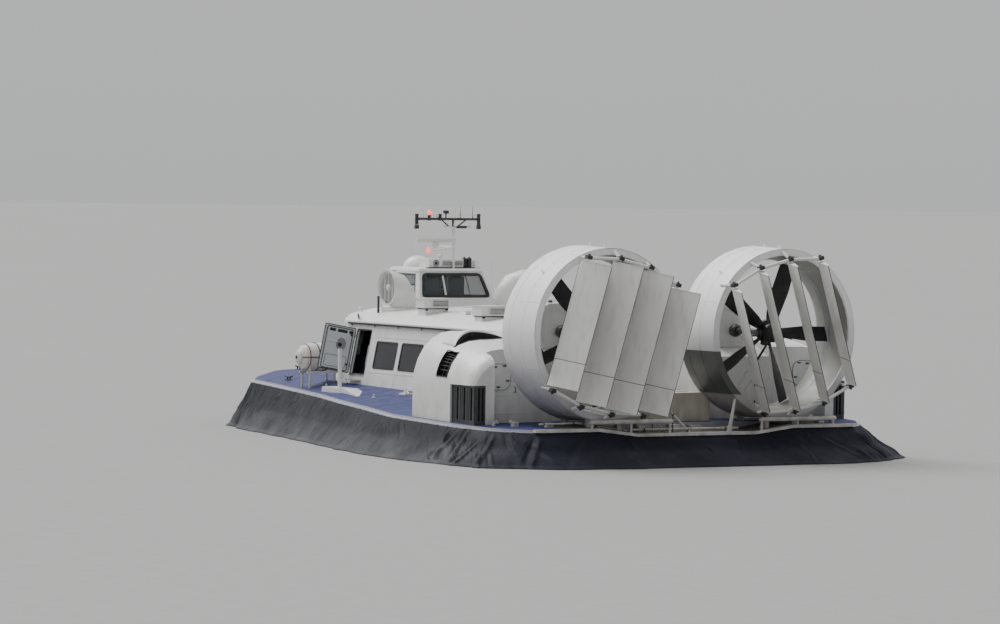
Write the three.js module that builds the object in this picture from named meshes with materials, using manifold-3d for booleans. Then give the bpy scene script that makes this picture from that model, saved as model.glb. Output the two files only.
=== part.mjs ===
// Twin-ducted passenger hovercraft, parked on its skirt and landing skids.
// Millimetres. The work is done with X forward from the transom, Y to port and Z up from the
// ground. The finished group is then shifted so that the origin is below the middle of the craft.
import * as THREE from 'three';
import { mergeVertices } from 'three/addons/utils/BufferGeometryUtils.js';
import Module from 'manifold-3d';

const wasm = await Module();
wasm.setup();

// Driving dimensions
const HULL_LENGTH = 20400;       // transom to bow tip, at the deck
const HALF_BEAM = 5520;          // hard deck, half width amidships
const DECK_AFT = 870;            // height of the deck edge at the transom
const SHEER = 0.0239;            // the deck edge rises this much per length towards the bow
const TANK_BOTTOM = 330;         // underside of the buoyancy tank
const GAP = 0.5;                 // between pieces that touch
const SKIRT_HALF_BEAM = 6400;    // foot of the skirt, half width
const SKIRT_AFT = -1560;         // foot of the skirt behind the transom
const SKIRT_FORE = 21240;        // foot of the skirt ahead of the bow
const SKIRT_THICKNESS = 60;
const CABIN_AFT = 4440;          // rear bulkhead
const CABIN_FORE = 12960;        // where the side walls end and the front begins
const WALL = 60;                 // cabin wall thickness
const SIDE_BASE = 2950;          // cabin half width at SIDE_BASE_Z
const SIDE_BASE_Z = 1250;
const GUTTER_HALF = 2600;        // cabin half width at the gutter
const GUTTER_Z = 2970;
const DUCT_Y = 2540;             // centre of each propeller duct
const SHAFT_Z = 3120;
const DUCT_LENGTH = 1510;
const DUCT_OUTER = 2080;
const DUCT_EXIT = 1930;          // radius of the bore at the rear edge
const DUCT_THROAT = 1810;        // radius of the bore round the propeller
const PROP_RADIUS = 1770;
const PROP_X = 770;
const RUDDER_X = -330;           // hinge line behind the duct's exit
const RUDDER_LEAN = THREE.MathUtils.degToRad(16.8);
const RUDDER_CHORD = 860;
const RUDDER_HINGE = 0.22;       // hinge line, as a share of the chord
const RUDDER_THICKNESS = 130;
const PORT_RUDDER_ANGLE = THREE.MathUtils.degToRad(30);
const STARBOARD_RUDDER_ANGLE = THREE.MathUtils.degToRad(-21);
const DOOR_OPEN_ANGLE = THREE.MathUtils.degToRad(-115);
const COWL_OUT = 5450;           // outboard wall of the lift fan housing
const COWL_IN = 3400;
const COWL_AFT = 1500;
const COWL_FORE = 4400;
const HOUSING_AFT = 1950;        // rear wall of the engine bay
const HOUSING_IN = 1350;
const BELOW_DECK = 700;          // things on deck start here and are cut to the deck's surface

const ORIGIN_X = (SKIRT_AFT + SKIRT_FORE) / 2;
const deckEdge = (x) => DECK_AFT + SHEER * x;

const WHITE = 0xe9e9e6;
const GREY = 0xb9bab8;
const DARK = 0x2b2d30;
const craft = new THREE.Group();

// Solids from three.js geometry, and back
function solid(geometry) {
  const bare = geometry.clone();
  bare.deleteAttribute('normal');
  bare.deleteAttribute('uv');
  const merged = mergeVertices(bare, 1e-3);
  return new wasm.Manifold(new wasm.Mesh({
    numProp: 3,
    vertProperties: new Float32Array(merged.attributes.position.array),
    triVerts: new Uint32Array(merged.index.array),
  }));
}

function toGeometry(manifold) {
  const result = manifold.getMesh();
  const geometry = new THREE.BufferGeometry();
  geometry.setAttribute('position', new THREE.BufferAttribute(result.vertProperties, 3));
  geometry.setIndex(new THREE.BufferAttribute(result.triVerts, 1));
  return geometry;
}

function mirrored(geometry) {
  const copy = geometry.clone();
  copy.applyMatrix4(new THREE.Matrix4().makeScale(1, -1, 1));
  const index = copy.index.array;
  for (let i = 0; i < index.length; i += 3) {
    [index[i], index[i + 1]] = [index[i + 1], index[i]];
  }
  return copy;
}

function add(name, shape, color, roughness = 0.5, metalness = 0) {
  const geometry = shape.isBufferGeometry ? shape : toGeometry(shape);
  const mesh = new THREE.Mesh(geometry, new THREE.MeshStandardMaterial({ color, roughness, metalness }));
  mesh.name = name;
  craft.add(mesh);
  return mesh;
}

// The port piece as built, and its mirror image to starboard
function addPair(name, shape, color, roughness, metalness) {
  const geometry = toGeometry(shape);
  add(`${name}_port`, geometry, color, roughness, metalness);
  add(`${name}_starboard`, mirrored(geometry), color, roughness, metalness);
}

const flat = (points) => new THREE.Shape(points.map(([a, b]) => new THREE.Vector2(a, b)));

function extruded(shape, depth) {
  return new THREE.ExtrudeGeometry(shape, { depth, bevelEnabled: false, curveSegments: 6 });
}

// Outlines swept along one axis: (y, z) along X, (x, z) along Y and (x, y) along Z
function alongX(outline, from, to) {
  const turn = new THREE.Matrix4().makeBasis(
    new THREE.Vector3(0, 1, 0), new THREE.Vector3(0, 0, 1), new THREE.Vector3(1, 0, 0));
  return solid(extruded(flat(outline), to - from).applyMatrix4(turn).translate(from, 0, 0));
}

function alongY(outline, from, to) {
  const turn = new THREE.Matrix4().makeBasis(
    new THREE.Vector3(1, 0, 0), new THREE.Vector3(0, 0, 1), new THREE.Vector3(0, -1, 0));
  return solid(extruded(flat(outline), to - from).applyMatrix4(turn).translate(0, to, 0));
}

function alongZ(outline, from, to) {
  return solid(extruded(flat(outline), to - from).translate(0, 0, from));
}

function box([x0, x1], [y0, y1], [z0, z1]) {
  const shape = new THREE.BoxGeometry(x1 - x0, y1 - y0, z1 - z0);
  return solid(shape.translate((x0 + x1) / 2, (y0 + y1) / 2, (z0 + z1) / 2));
}

// A straight round bar between two points
function bar(from, to, radius, sides = 6, endRadius = radius) {
  const a = new THREE.Vector3(...from);
  const b = new THREE.Vector3(...to);
  const shape = new THREE.CylinderGeometry(endRadius, radius, a.distanceTo(b), sides);
  const turn = new THREE.Quaternion().setFromUnitVectors(
    new THREE.Vector3(0, 1, 0), b.clone().sub(a).normalize());
  return solid(shape.applyQuaternion(turn).translate(...a.add(b).multiplyScalar(0.5)));
}

function ball([x, y, z], radius, [sx, sy, sz] = [1, 1, 1], sides = 12) {
  return solid(new THREE.SphereGeometry(radius, sides, sides / 2).scale(sx, sy, sz).translate(x, y, z));
}

// A closed skin over rings of points that all have the same count
function loft(rings) {
  const count = rings[0].length;
  const points = rings.flat();
  const triangles = [];
  for (let r = 0; r < rings.length - 1; r += 1) {
    for (let i = 0; i < count; i += 1) {
      const a = r * count + i;
      const b = r * count + (i + 1) % count;
      triangles.push(a, b, b + count, a, b + count, a + count);
    }
  }
  for (const [ring, flip] of [[rings[0], true], [rings.at(-1), false]]) {
    const start = flip ? 0 : (rings.length - 1) * count;
    const centre = ring.reduce((sum, p) => sum.map((v, k) => v + p[k] / count), [0, 0, 0]);
    points.push(centre);
    for (let i = 0; i < count; i += 1) {
      const pair = [start + i, start + (i + 1) % count];
      triangles.push(...(flip ? pair.reverse() : pair), points.length - 1);
    }
  }
  const [a, b, c] = [new THREE.Vector3(), new THREE.Vector3(), new THREE.Vector3()];
  let volume = 0;
  for (let t = 0; t < triangles.length; t += 3) {
    a.set(...points[triangles[t]]);
    b.set(...points[triangles[t + 1]]);
    c.set(...points[triangles[t + 2]]);
    volume += a.dot(b.cross(c));
  }
  if (volume < 0) triangles.reverse();
  const geometry = new THREE.BufferGeometry();
  geometry.setAttribute('position', new THREE.Float32BufferAttribute(points.flat(), 3));
  geometry.setIndex(triangles);
  return solid(geometry);
}

// A half outline in (y, z), mirrored to starboard and placed at one x
const bothSides = (x, half) => [
  ...half.map(([y, z]) => [x, y, z]),
  ...half.filter(([y]) => y > 0).reverse().map(([y, z]) => [x, -y, z]),
];

// Hull: buoyancy tank and cambered deck
// x, half width of the deck, rise of the deck inboard of the edge
const HULL_STATIONS = [
  [50, 4600, 20], [350, 5000, 20], [900, 5330, 20], [2250, HALF_BEAM, 20], [2950, HALF_BEAM, 200],
  [5200, HALF_BEAM, 280], [7500, 4990, 270], [9600, 4580, 260], [11550, 4100, 240],
  [13100, 3830, 220], [15200, 3500, 200], [17130, 3250, 180], [18280, 2540, 140],
  [19610, 1210, 80], [20250, 310, 30], [HULL_LENGTH, 60, 20],
];

const deckLine = (half, edge, rise) => [[half, edge], [0.98 * half, edge + 12],
  [Math.min(2950, 0.8 * half), edge + rise], [0, edge + rise + 10]];

function hullRing([x, half, rise]) {
  const edge = deckEdge(x);
  return bothSides(x, [[0, TANK_BOTTOM], [0.72 * half, TANK_BOTTOM], [0.93 * half, edge - 260],
    [half, edge - 160], ...deckLine(half, edge, rise)]);
}

// What lies below the deck's surface, to cut the things that stand on it
function belowDeckRing([x, half, rise]) {
  return bothSides(x, [[0, 0], [half, 0], ...deckLine(half, deckEdge(x) + GAP, rise)]);
}

// The middle of the stern deck is a shallow well: half widths of its floor and of its rim
const WELL_DEPTH = 140;
const WELL_FLOOR = 1700;
const WELL_RIM = 2800;
const sternWell = alongX([[-WELL_RIM, 1100], [-WELL_RIM, DECK_AFT + 30],
  [-WELL_FLOOR, DECK_AFT - WELL_DEPTH], [WELL_FLOOR, DECK_AFT - WELL_DEPTH],
  [WELL_RIM, DECK_AFT + 30], [WELL_RIM, 1100]], -200, 1100);
const hull = loft(HULL_STATIONS.map((row) => hullRing(row))).subtract(sternWell);
const belowDeck = loft(HULL_STATIONS.map((row) => belowDeckRing(row)));
const onDeck = (shape) => shape.subtract(belowDeck);

// Skirt: a rubber curtain that hangs from the deck edge and spreads to the ground
// deck edge x and y, foot x and y, how far out the curtain's middle stands as a share
const SKIRT_STATIONS = [
  [50, 0, SKIRT_AFT, 0, 0.40], [50, WELL_FLOOR, SKIRT_AFT, 1750, 0.40],
  [50, WELL_RIM, SKIRT_AFT, 2880, 0.40],
  [50, 3700, -1460, 3800, 0.40], [50, 4600, -1220, 4640, 0.42], [350, 5000, -830, 5300, 0.45],
  [900, 5330, 0, 6200, 0.45], [2250, 5520, 2200, SKIRT_HALF_BEAM, 0.42],
  [5200, 5520, 5300, SKIRT_HALF_BEAM, 0.40], [7500, 4990, 7750, 5900, 0.40],
  [9600, 4580, 9850, 5470, 0.40], [11550, 4100, 11850, 5000, 0.40], [13100, 3830, 13450, 4750, 0.40],
  [15200, 3500, 15500, 4380, 0.40], [17130, 3250, 17600, 3820, 0.42], [18280, 2540, 18950, 2980, 0.45],
  [19610, 1210, 20400, 1600, 0.45], [20250, 310, 21100, 650, 0.45], [HULL_LENGTH, 0, SKIRT_FORE, 0, 0.45],
];
const SKIRT_TOP = 70;
const MIDDLE_HEIGHT = 0.45;

function skirtRow(at) {
  const i = Math.min(Math.floor(at), SKIRT_STATIONS.length - 2);
  return SKIRT_STATIONS[i].map((v, k) => v + (SKIRT_STATIONS[i + 1][k] - v) * (at - i));
}

function wellDrop(x, y) {
  const share = THREE.MathUtils.clamp((WELL_RIM - y) / (WELL_RIM - WELL_FLOOR), 0, 1);
  return x > 100 ? 0 : share * WELL_DEPTH;
}

function skirtRing(at, side) {
  const [topX, topY, footX, footY, share] = skirtRow(at);
  const out = new THREE.Vector2(footX - topX, footY - topY);
  const reach = out.length();
  out.normalize();
  const edge = deckEdge(topX) - wellDrop(topX, topY);
  const point = (distance, z) => [topX + out.x * distance, side * (topY + out.y * distance), z];
  const clear = 12;
  const middle = share * reach;
  return [
    point(clear, edge - SKIRT_TOP), point(clear + SKIRT_THICKNESS, edge - SKIRT_TOP),
    point(middle + SKIRT_THICKNESS, edge * MIDDLE_HEIGHT), point(reach, 0),
    point(reach - 1.6 * SKIRT_THICKNESS, 0), point(middle, edge * MIDDLE_HEIGHT - 30),
    point(clear, edge - 200),
  ];
}

// name, first and last station, side
const CURTAINS = [
  ['skirt_port_aft', 4, 8, 1], ['skirt_port_fore', 8, 14, 1],
  ['skirt_starboard_aft', 4, 8, -1], ['skirt_starboard_fore', 8, 14, -1],
];
const SEAM = 0.0004;
const SKIRT_CLEAR = 6;
const lastStation = HULL_STATIONS.length - 1;
const hullRoom = loft(HULL_STATIONS.map(([x, half, rise], i) => {
  const end = { 0: -SKIRT_CLEAR, [lastStation]: SKIRT_CLEAR }[i] ?? 0;
  return hullRing([x + end, half + SKIRT_CLEAR, rise]);
}));

function stationsBetween(first, last) {
  const inner = [];
  for (let at = first + 1; at < last; at += 1) inner.push(at);
  return [first + SEAM, ...inner, last - SEAM];
}

function mirroredStrip(first, last) {
  const port = stationsBetween(first, last).map((at) => skirtRing(at, 1));
  const starboard = stationsBetween(first, last).map((at) => skirtRing(at, -1));
  const open = first === 0 ? starboard.slice(1).reverse() : starboard;
  return first === 0 ? [...open, ...port.slice(1)] : [...port, ...open.slice(0, -1).reverse()];
}

const RUBBER = 0x45484c;
add('hull', hull, 0x5b68a0, 0.6);
add('skirt_stern', loft(mirroredStrip(0, 4)).subtract(hullRoom), RUBBER, 0.85);
add('skirt_bow', loft(mirroredStrip(14, 18)).subtract(hullRoom), RUBBER, 0.85);
for (const [name, first, last, side] of CURTAINS) {
  const strip = loft(stationsBetween(first, last).map((at) => skirtRing(at, side)));
  add(name, strip.subtract(hullRoom), RUBBER, 0.85);
}

const skid = alongY([[2600, 0], [14800, 0], [15600, TANK_BOTTOM - GAP], [1800, TANK_BOTTOM - GAP]],
  1850, 2150);
addPair('landing_skid', skid, GREY, 0.4, 0.6);

// Cabin walls lean inboard towards the top
const LEAN = (SIDE_BASE - GUTTER_HALF) / (GUTTER_Z - SIDE_BASE_Z);
const wallY = (z) => SIDE_BASE - (z - SIDE_BASE_Z) * LEAN;
// Windows in the side wall: first x, last x, low z, high z
const SIDE_WINDOWS = [
  [10100, 11220, 1840, 2530], [8750, 9870, 1840, 2530], [7400, 8520, 1840, 2530],
  [6050, 7170, 1840, 2530], [4900, 5820, 1840, 2530],
];
const DOORWAY = [11640, 12370, 1660, 2790];

function leaning(x0, x1, z0, z1, outer, inner) {
  return alongX([[wallY(z0) - outer, z0], [wallY(z1) - outer, z1],
    [wallY(z1) - inner, z1], [wallY(z0) - inner, z0]], x0, x1);
}

function sideWall() {
  let wall = leaning(CABIN_AFT + WALL + GAP, CABIN_FORE - GAP, BELOW_DECK, GUTTER_Z, 0, WALL);
  for (const [x0, x1, z0, z1] of SIDE_WINDOWS) {
    wall = wall.subtract(leaning(x0, x1, z0, z1, -50, WALL + 50));
  }
  const [x0, x1, z0, z1] = DOORWAY;
  return onDeck(wall.subtract(leaning(x0, x1, z0, z1, -50, WALL + 50)));
}
addPair('cabin_side', sideWall(), WHITE);

const GLASS = 12;
const GLASS_LIP = 80;
const glazing = leaning(SIDE_WINDOWS.at(-1)[0] - GLASS_LIP, SIDE_WINDOWS[0][1] + GLASS_LIP,
  SIDE_WINDOWS[0][2] - GLASS_LIP, SIDE_WINDOWS[0][3] + GLASS_LIP, WALL + 1, WALL + 1 + GLASS);
addPair('cabin_glazing', glazing, 0x30363c, 0.1);

// Cabin front: plan points at the base and at the gutter, x and y, from the side wall inboard
const FRONT_BASE = [[CABIN_FORE, 2950], [14080, 2450], [15000, 1330], [15140, 0]];
const FRONT_TOP = [[CABIN_FORE, 2600], [13850, 2130], [14560, 1180], [14680, 0]];
const FRONT_Z = [BELOW_DECK, GUTTER_Z];

function frontRing(points, z, inset) {
  const half = points.map(([x, y], i) => [x - (i === 0 ? 0 : inset), y - (i === 3 ? 0 : inset)]);
  return [...half.map(([x, y]) => [x, y, z]),
    ...half.slice(0, 3).reverse().map(([x, y]) => [x, -y, z])];
}

function frontBlock(inset, z = FRONT_Z) {
  const at = (height) => FRONT_BASE.map(([x, y], i) => {
    const share = (height - SIDE_BASE_Z) / (GUTTER_Z - SIDE_BASE_Z);
    return [x + (FRONT_TOP[i][0] - x) * share, y + (FRONT_TOP[i][1] - y) * share];
  });
  return loft([frontRing(at(z[0]), z[0], inset), frontRing(at(z[1]), z[1], inset)]);
}

const FRONT_PANES = [[-980, -80], [80, 980]];
let front = frontBlock(0).subtract(frontBlock(WALL, [FRONT_Z[0] - 1, FRONT_Z[1] + 1]));
for (const [y0, y1] of FRONT_PANES) {
  front = front.subtract(box([14000, 15500], [y0, y1], [2050, 2720]));
}
for (const side of [-1, 1]) {
  const pane = [[1400, 2050], [1330, 2720], [2050, 2720], [2180, 2050]].map(([y, z]) => [side * y, z]);
  front = front.subtract(alongX(pane, 13500, 15500));
  front = front.subtract(alongY([[13120, 2050], [13100, 2720], [13680, 2720], [13780, 2050]],
    Math.min(side * 2000, side * 3200), Math.max(side * 2000, side * 3200)));
}
front = front.subtract(box([CABIN_FORE - 10, CABIN_FORE + GAP], [-3200, 3200], [600, 3100]));
add('cabin_front', onDeck(front), WHITE);
const screenInside = frontBlock(WALL + 1 + GLASS, [FRONT_Z[0] - 1, FRONT_Z[1] + 1]);
const screen = frontBlock(WALL + 1).subtract(screenInside);
add('windscreen', screen.intersect(box([13020, 15500], [-3200, 3200], [1990, 2780])), 0x30363c, 0.1);

const rear = alongX([[-wallY(BELOW_DECK), BELOW_DECK], [wallY(BELOW_DECK), BELOW_DECK],
  [GUTTER_HALF, GUTTER_Z], [-GUTTER_HALF, GUTTER_Z]], CABIN_AFT, CABIN_AFT + WALL)
  .subtract(box([4000, 5000], [-400, 400], [1500, 2800]));
add('cabin_rear', onDeck(rear), WHITE);

// Cabin roof: x, half width, crown height, shoulder height
const ROOF_STATIONS = [
  [CABIN_AFT, 2660, 3330, 3190], [7000, 2660, 3360, 3200], [9800, 2660, 3440, 3230],
  [13000, 2660, 3440, 3230], [13700, 2330, 3370, 3180], [14450, 1700, 3230, 3110],
  [15050, 1150, 3080, 3050],
];
const ROOF_SKIN = 80;

function roofRing([x, half, crown, shoulder], inset = 0) {
  const base = GUTTER_Z + GAP;
  const [w, c, s] = [half - inset, crown - inset, shoulder - inset];
  return bothSides(x, [[0, base - inset], [w, base - inset], [w, Math.min(base + 60, s)],
    [0.92 * w, s], [0.68 * w, (s + c) / 2 + 20], [0, c]]);
}
const roofInner = ROOF_STATIONS.map(([x, ...sizes], i) => [x + (i === 0 ? WALL : -ROOF_SKIN), ...sizes]);
let roof = loft(ROOF_STATIONS.map((row) => roofRing(row)));
roof = roof.subtract(loft(roofInner.slice(0, 5).map((row) => roofRing(row, ROOF_SKIN))));

// Turntables of the bow thrusters, on the roof
const THRUSTER = [11850, 1720];
const TURNTABLE_TOP = 3400;
for (const side of [-1, 1]) {
  const [x, y] = [THRUSTER[0], side * THRUSTER[1]];
  roof = roof.add(bar([x, y, 3190], [x, y, TURNTABLE_TOP], 480, 24));
}

// Wheelhouse on the roof: half widths and ends at its foot and at its top
const WHEELHOUSE = [[3300, 11600, 14600, 1215, 820], [4360, 12100, 14300, 965, 740]];
const WHEELHOUSE_WALL = 50;

function wheelhouseBlock(inset, z0, z1) {
  const ring = (z) => {
    const share = (z - WHEELHOUSE[0][0]) / (WHEELHOUSE[1][0] - WHEELHOUSE[0][0]);
    const [, aft, fore, wide, narrow] = WHEELHOUSE[0].map((v, k) => v + (WHEELHOUSE[1][k] - v) * share);
    return [[aft + inset, wide - inset], [aft + 1150, wide - inset], [fore - 450, narrow + 60 - inset],
      [fore - inset, narrow - 330], [fore - inset, -narrow + 330], [fore - 450, inset - narrow - 60],
      [aft + 1150, inset - wide], [aft + inset, inset - wide]].map(([x, y]) => [x, y, z]);
  };
  return loft([ring(z0), ring(z1)]);
}

const ROOF_TRIM = loft(ROOF_STATIONS.map((row) => roofRing([row[0], row[1], row[2] + GAP, row[3] + GAP])))
  .add(bar([THRUSTER[0], THRUSTER[1], 3300], [THRUSTER[0], THRUSTER[1], TURNTABLE_TOP], 482, 24))
  .add(bar([THRUSTER[0], -THRUSTER[1], 3300], [THRUSTER[0], -THRUSTER[1], TURNTABLE_TOP], 482, 24));
let wheelhouse = wheelhouseBlock(0, 2990, 4360).subtract(wheelhouseBlock(WHEELHOUSE_WALL, 2980, 4370));
const rearPane = alongX([[-1030, 3680], [1030, 3680], [885, 4280], [-885, 4280]], 11400, 12900);
const frontPane = alongX([[-760, 3700], [760, 3700], [690, 4270], [-690, 4270]], 14000, 14900);
const sidePanes = alongY([[12030, 3690], [13780, 3690], [13700, 4270], [12270, 4270]], -1600, 1600);
wheelhouse = wheelhouse.subtract(rearPane).subtract(frontPane).subtract(sidePanes);
add('wheelhouse_shell', wheelhouse.subtract(ROOF_TRIM), WHITE);
const wheelhouseGlass = wheelhouseBlock(WHEELHOUSE_WALL + 6, 2990, 4360)
  .subtract(wheelhouseBlock(WHEELHOUSE_WALL + 6 + GLASS, 2980, 4370))
  .intersect(box([11000, 15000], [-2000, 2000], [3560, 4340]));
add('wheelhouse_glazing', wheelhouseGlass, 0x30363c, 0.1);

// Wheelhouse roof with a faired dome in front and the air conditioner behind
let cap = loft([
  [[12040, 1010, 4361], [13850, 900, 4361], [14350, 480, 4361], [14350, -480, 4361], [13850, -900, 4361],
    [12040, -1010, 4361]],
  [[12080, 980, 4430], [13830, 870, 4430], [14310, 460, 4430], [14310, -460, 4430], [13830, -870, 4430],
    [12080, -980, 4430]],
]);
const dome = ball([13900, 0, 4400], 400, [1, 1, 0.85], 20);
cap = cap.add(dome.subtract(box([12000, 15000], [-900, 900], [3900, 4400])));
cap = cap.add(box([12200, 12720], [-440, 610], [4400, 4680]));
for (const y of [-515, -665]) cap = cap.add(bar([12290, y, 4400], [12290, y, 4660], 70, 10));
cap = cap.add(alongX([[-950, 4420], [-810, 4650], [-770, 4650], [-770, 4420]], 12120, 12720));
add('wheelhouse_roof', cap, WHITE);

// Mast: leaning pole, yard, radar arm, lamps and whip antennas
const MAST_Y = -100;
const MAST_X = 12190;
const YARD = [-890, 1010, 5745];
const MAST_HEAD = 6120;
const ARM_Z = 4990;
let mast = bar([12135, MAST_Y, 4433], [MAST_X, MAST_Y, YARD[2]], 32, 8);
mast = mast.add(bar([MAST_X, YARD[0], YARD[2]], [MAST_X, YARD[1], YARD[2]], 34, 8));
mast = mast.add(bar([12160, MAST_Y, ARM_Z], [12950, 0, 5010], 34, 8));
mast = mast.add(bar([12950, 0, 4960], [12950, 0, 5085], 110, 12));
mast = mast.add(bar([MAST_X, -630, 5530], [MAST_X, 190, 5530], 38, 8));
for (const reach of [-420, 380]) {
  mast = mast.add(bar([MAST_X, MAST_Y, 5450], [MAST_X, MAST_Y + reach, YARD[2]], 20));
}
// y, lower and upper end
const LAMPS = [[YARD[0], 5580, 5890], [YARD[1], 5590, 5880], [630, 5700, 5940], [300, 5700, 5880]];
for (const [y, low, high] of LAMPS) mast = mast.add(bar([MAST_X, y, low], [MAST_X, y, high], 48, 8));
for (const y of [-700, -320]) mast = mast.add(bar([MAST_X, y, YARD[2]], [MAST_X, y, MAST_HEAD], 12, 6));
mast = mast.add(bar([12160, MAST_Y, ARM_Z], [12200, 640, 4880], 24));
mast = mast.add(bar([12200, 640, 4830], [12200, 640, 4960], 48, 8));
add('mast', mast, WHITE);
const spindle = bar([12950, 0, 5096], [12950, 0, 5150], 60);
add('radar_scanner', box([12890, 13010], [-600, 600], [5110, 5220]).add(spindle), WHITE);

// Bow thruster: a swivelling nozzle whose mouth faces outboard
const NOZZLE_SEGMENTS = 18;
function nozzle(radius, mouthReach, footDrop) {
  const rings = [];
  for (let step = 0; step <= 3; step += 1) {
    const share = step / 3;
    const tilt = share * Math.PI / 2;
    const ring = [];
    for (let i = 0; i < NOZZLE_SEGMENTS; i += 1) {
      const a = 2 * Math.PI * i / NOZZLE_SEGMENTS;
      const across = radius * Math.cos(a) * (1 - 0.06 * (1 - share));
      const up = radius * Math.sin(a);
      const centreY = -40 + (mouthReach + 40) * share * share;
      const centreZ = -footDrop + (520 + footDrop) * Math.sin(tilt);
      ring.push([across, centreY - up * Math.cos(tilt), centreZ + up * Math.sin(tilt)]);
    }
    rings.push(ring);
  }
  return loft(rings);
}
const thruster = nozzle(470, 330, 0).subtract(nozzle(420, 345, 10))
  .add(alongY(circle(480), 300, 360).subtract(alongY(circle(425), 290, 370)));

function circle(radius) {
  const points = [];
  for (let i = 0; i < 24; i += 1) {
    const a = 2 * Math.PI * i / 24;
    points.push([radius * Math.cos(a), 520 + radius * Math.sin(a)]);
  }
  return points;
}
const thrusterPlaced = toGeometry(thruster).translate(THRUSTER[0], THRUSTER[1], TURNTABLE_TOP + 6);
add('bow_thruster_port', thrusterPlaced, WHITE);
add('bow_thruster_starboard', mirrored(thrusterPlaced), WHITE);

// Air conditioners on the cabin roof: x and distance from the middle of each pair, height of the top
for (const [x, out, top] of [[6600, 2000, 3600], [9700, 1900, 3700]]) {
  for (const y of [-out, out]) {
    roof = roof.add(box([x - 190, x + 190], [y - 330, y + 330], [3200, top - 200]));
    roof = roof.add(box([x - 230, x + 230], [y - 375, y + 375], [top - 240, top]));
  }
}
add('cabin_roof', roof, WHITE);

// Lift fan housing: x, height of its top, height where the side starts to curve in, and how far
// its rounded rear edge draws in
const COWL_STATIONS = [
  [COWL_AFT, 2620, 1800, 130], [1560, 2633, 1800, 60], [1660, 2654, 1800, 15], [1800, 2683, 1800, 0],
  [2500, 2830, 1800, 0], [3500, 2990, 1780, 0], [COWL_FORE, 3070, 1750, 0],
];
const ARC_WIDTH = 1050;
const ARC_STEPS = 6;

function cowlRing([x, top, start, drawn = 0], inset = 0) {
  const outer = COWL_OUT - inset - drawn;
  const rise = top - inset - drawn - start;
  const ring = [[x, COWL_IN + inset, BELOW_DECK], [x, outer, BELOW_DECK]];
  for (let i = 0; i <= ARC_STEPS; i += 1) {
    const a = i / ARC_STEPS * Math.PI / 2;
    ring.push([x, outer - ARC_WIDTH * (1 - Math.cos(a)), start + rise * Math.sin(a)]);
  }
  return [...ring, [x, COWL_IN + inset, start + rise]];
}

// The air intake under the brow of the housing: a long lens across its shoulder and its top
const INTAKE = { x: 3150, top: 2934, start: 1787, half: 150, depth: 170, steps: 12 };
function intakePocket() {
  const rings = [];
  for (let i = 0; i <= INTAKE.steps; i += 1) {
    const a = THREE.MathUtils.degToRad(55 + 35 * Math.min(1, 2 * i / INTAKE.steps));
    const inboard = 130 * Math.max(0, i - INTAKE.steps / 2);
    const y = COWL_OUT - ARC_WIDTH * (1 - Math.cos(a)) - inboard;
    const z = INTAKE.start + (INTAKE.top - INTAKE.start) * Math.sin(a);
    const half = 10 + INTAKE.half * Math.sin(Math.PI * i / INTAKE.steps);
    const at = (side, out) => [INTAKE.x + side * half, y + out * Math.cos(a), z + out * Math.sin(a)];
    rings.push([at(-1, 60), at(1, 60), at(1, -INTAKE.depth), at(-1, -INTAKE.depth)]);
  }
  return loft(rings);
}
const LOUVRE = [[1480, 2550], [5080, 5390], 1860];
let cowl = loft(COWL_STATIONS.map((row) => cowlRing(row)));
cowl = cowl.subtract(box([1000, HOUSING_AFT], [3000, 4820], [0, 4000]));
cowl = cowl.subtract(box([1000, LOUVRE[0][1]], [LOUVRE[1][0], 6000], [0, LOUVRE[2]]));
cowl = cowl.subtract(box([2750, 3270], [4600, 6000], [2020, 2620])
  .subtract(loft([[2600, 2750, 1750], [3400, 2870, 1750]].map((row) => cowlRing(row, 160)))));
addPair('lift_fan_housing', onDeck(cowl.subtract(intakePocket())), WHITE);

// Corner louvre below it: a dark box with upright slots
let louvre = box([LOUVRE[0][0], LOUVRE[0][1] - GAP], [LOUVRE[1][0] + GAP, LOUVRE[1][1]],
  [BELOW_DECK, LOUVRE[2] - GAP]);
for (const x of [1580, 1910, 2240]) {
  louvre = louvre.subtract(box([x, x + 90], [5300, 5600], [1010, 1800]));
}
for (const y of [5130, 5230]) louvre = louvre.subtract(box([1400, 1560], [y, y + 60], [1010, 1800]));
addPair('intake_louvre', onDeck(louvre), DARK, 0.7);

// Engine housing beside it, open below, with the engine inside and the pylon on top
const HOUSING_PROFILE = [[HOUSING_AFT, BELOW_DECK], [COWL_FORE, BELOW_DECK], [COWL_FORE, 3050],
  [3500, 2980], [2500, 2700], [HOUSING_AFT, 2480]];
const HOUSING_OUT = COWL_IN - GAP;
let housing = alongY(HOUSING_PROFILE, HOUSING_IN, HOUSING_OUT)
  .subtract(alongY([[HOUSING_AFT + WALL, 600], [COWL_FORE - WALL, 600], [COWL_FORE - WALL, 2900],
    [3500, 2840], [2500, 2600], [HOUSING_AFT + WALL, 2380]], HOUSING_IN + WALL, HOUSING_OUT - WALL));
// Slanted cooling slots in the rear wall: y and z at the lower and the upper end
for (const [y0, z0, y1, z1] of [[2500, 1770, 2790, 2120], [2690, 1590, 2900, 1880]]) {
  const slot = bar([HOUSING_AFT, y0, z0], [HOUSING_AFT, y1, z1], 45, 4);
  housing = housing.subtract(slot);
}
addPair('engine_housing', onDeck(housing), WHITE);
addPair('engine_block', box([2600, 4100], [1900, 2900], [1300, 2300]), DARK, 0.6, 0.3);

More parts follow.
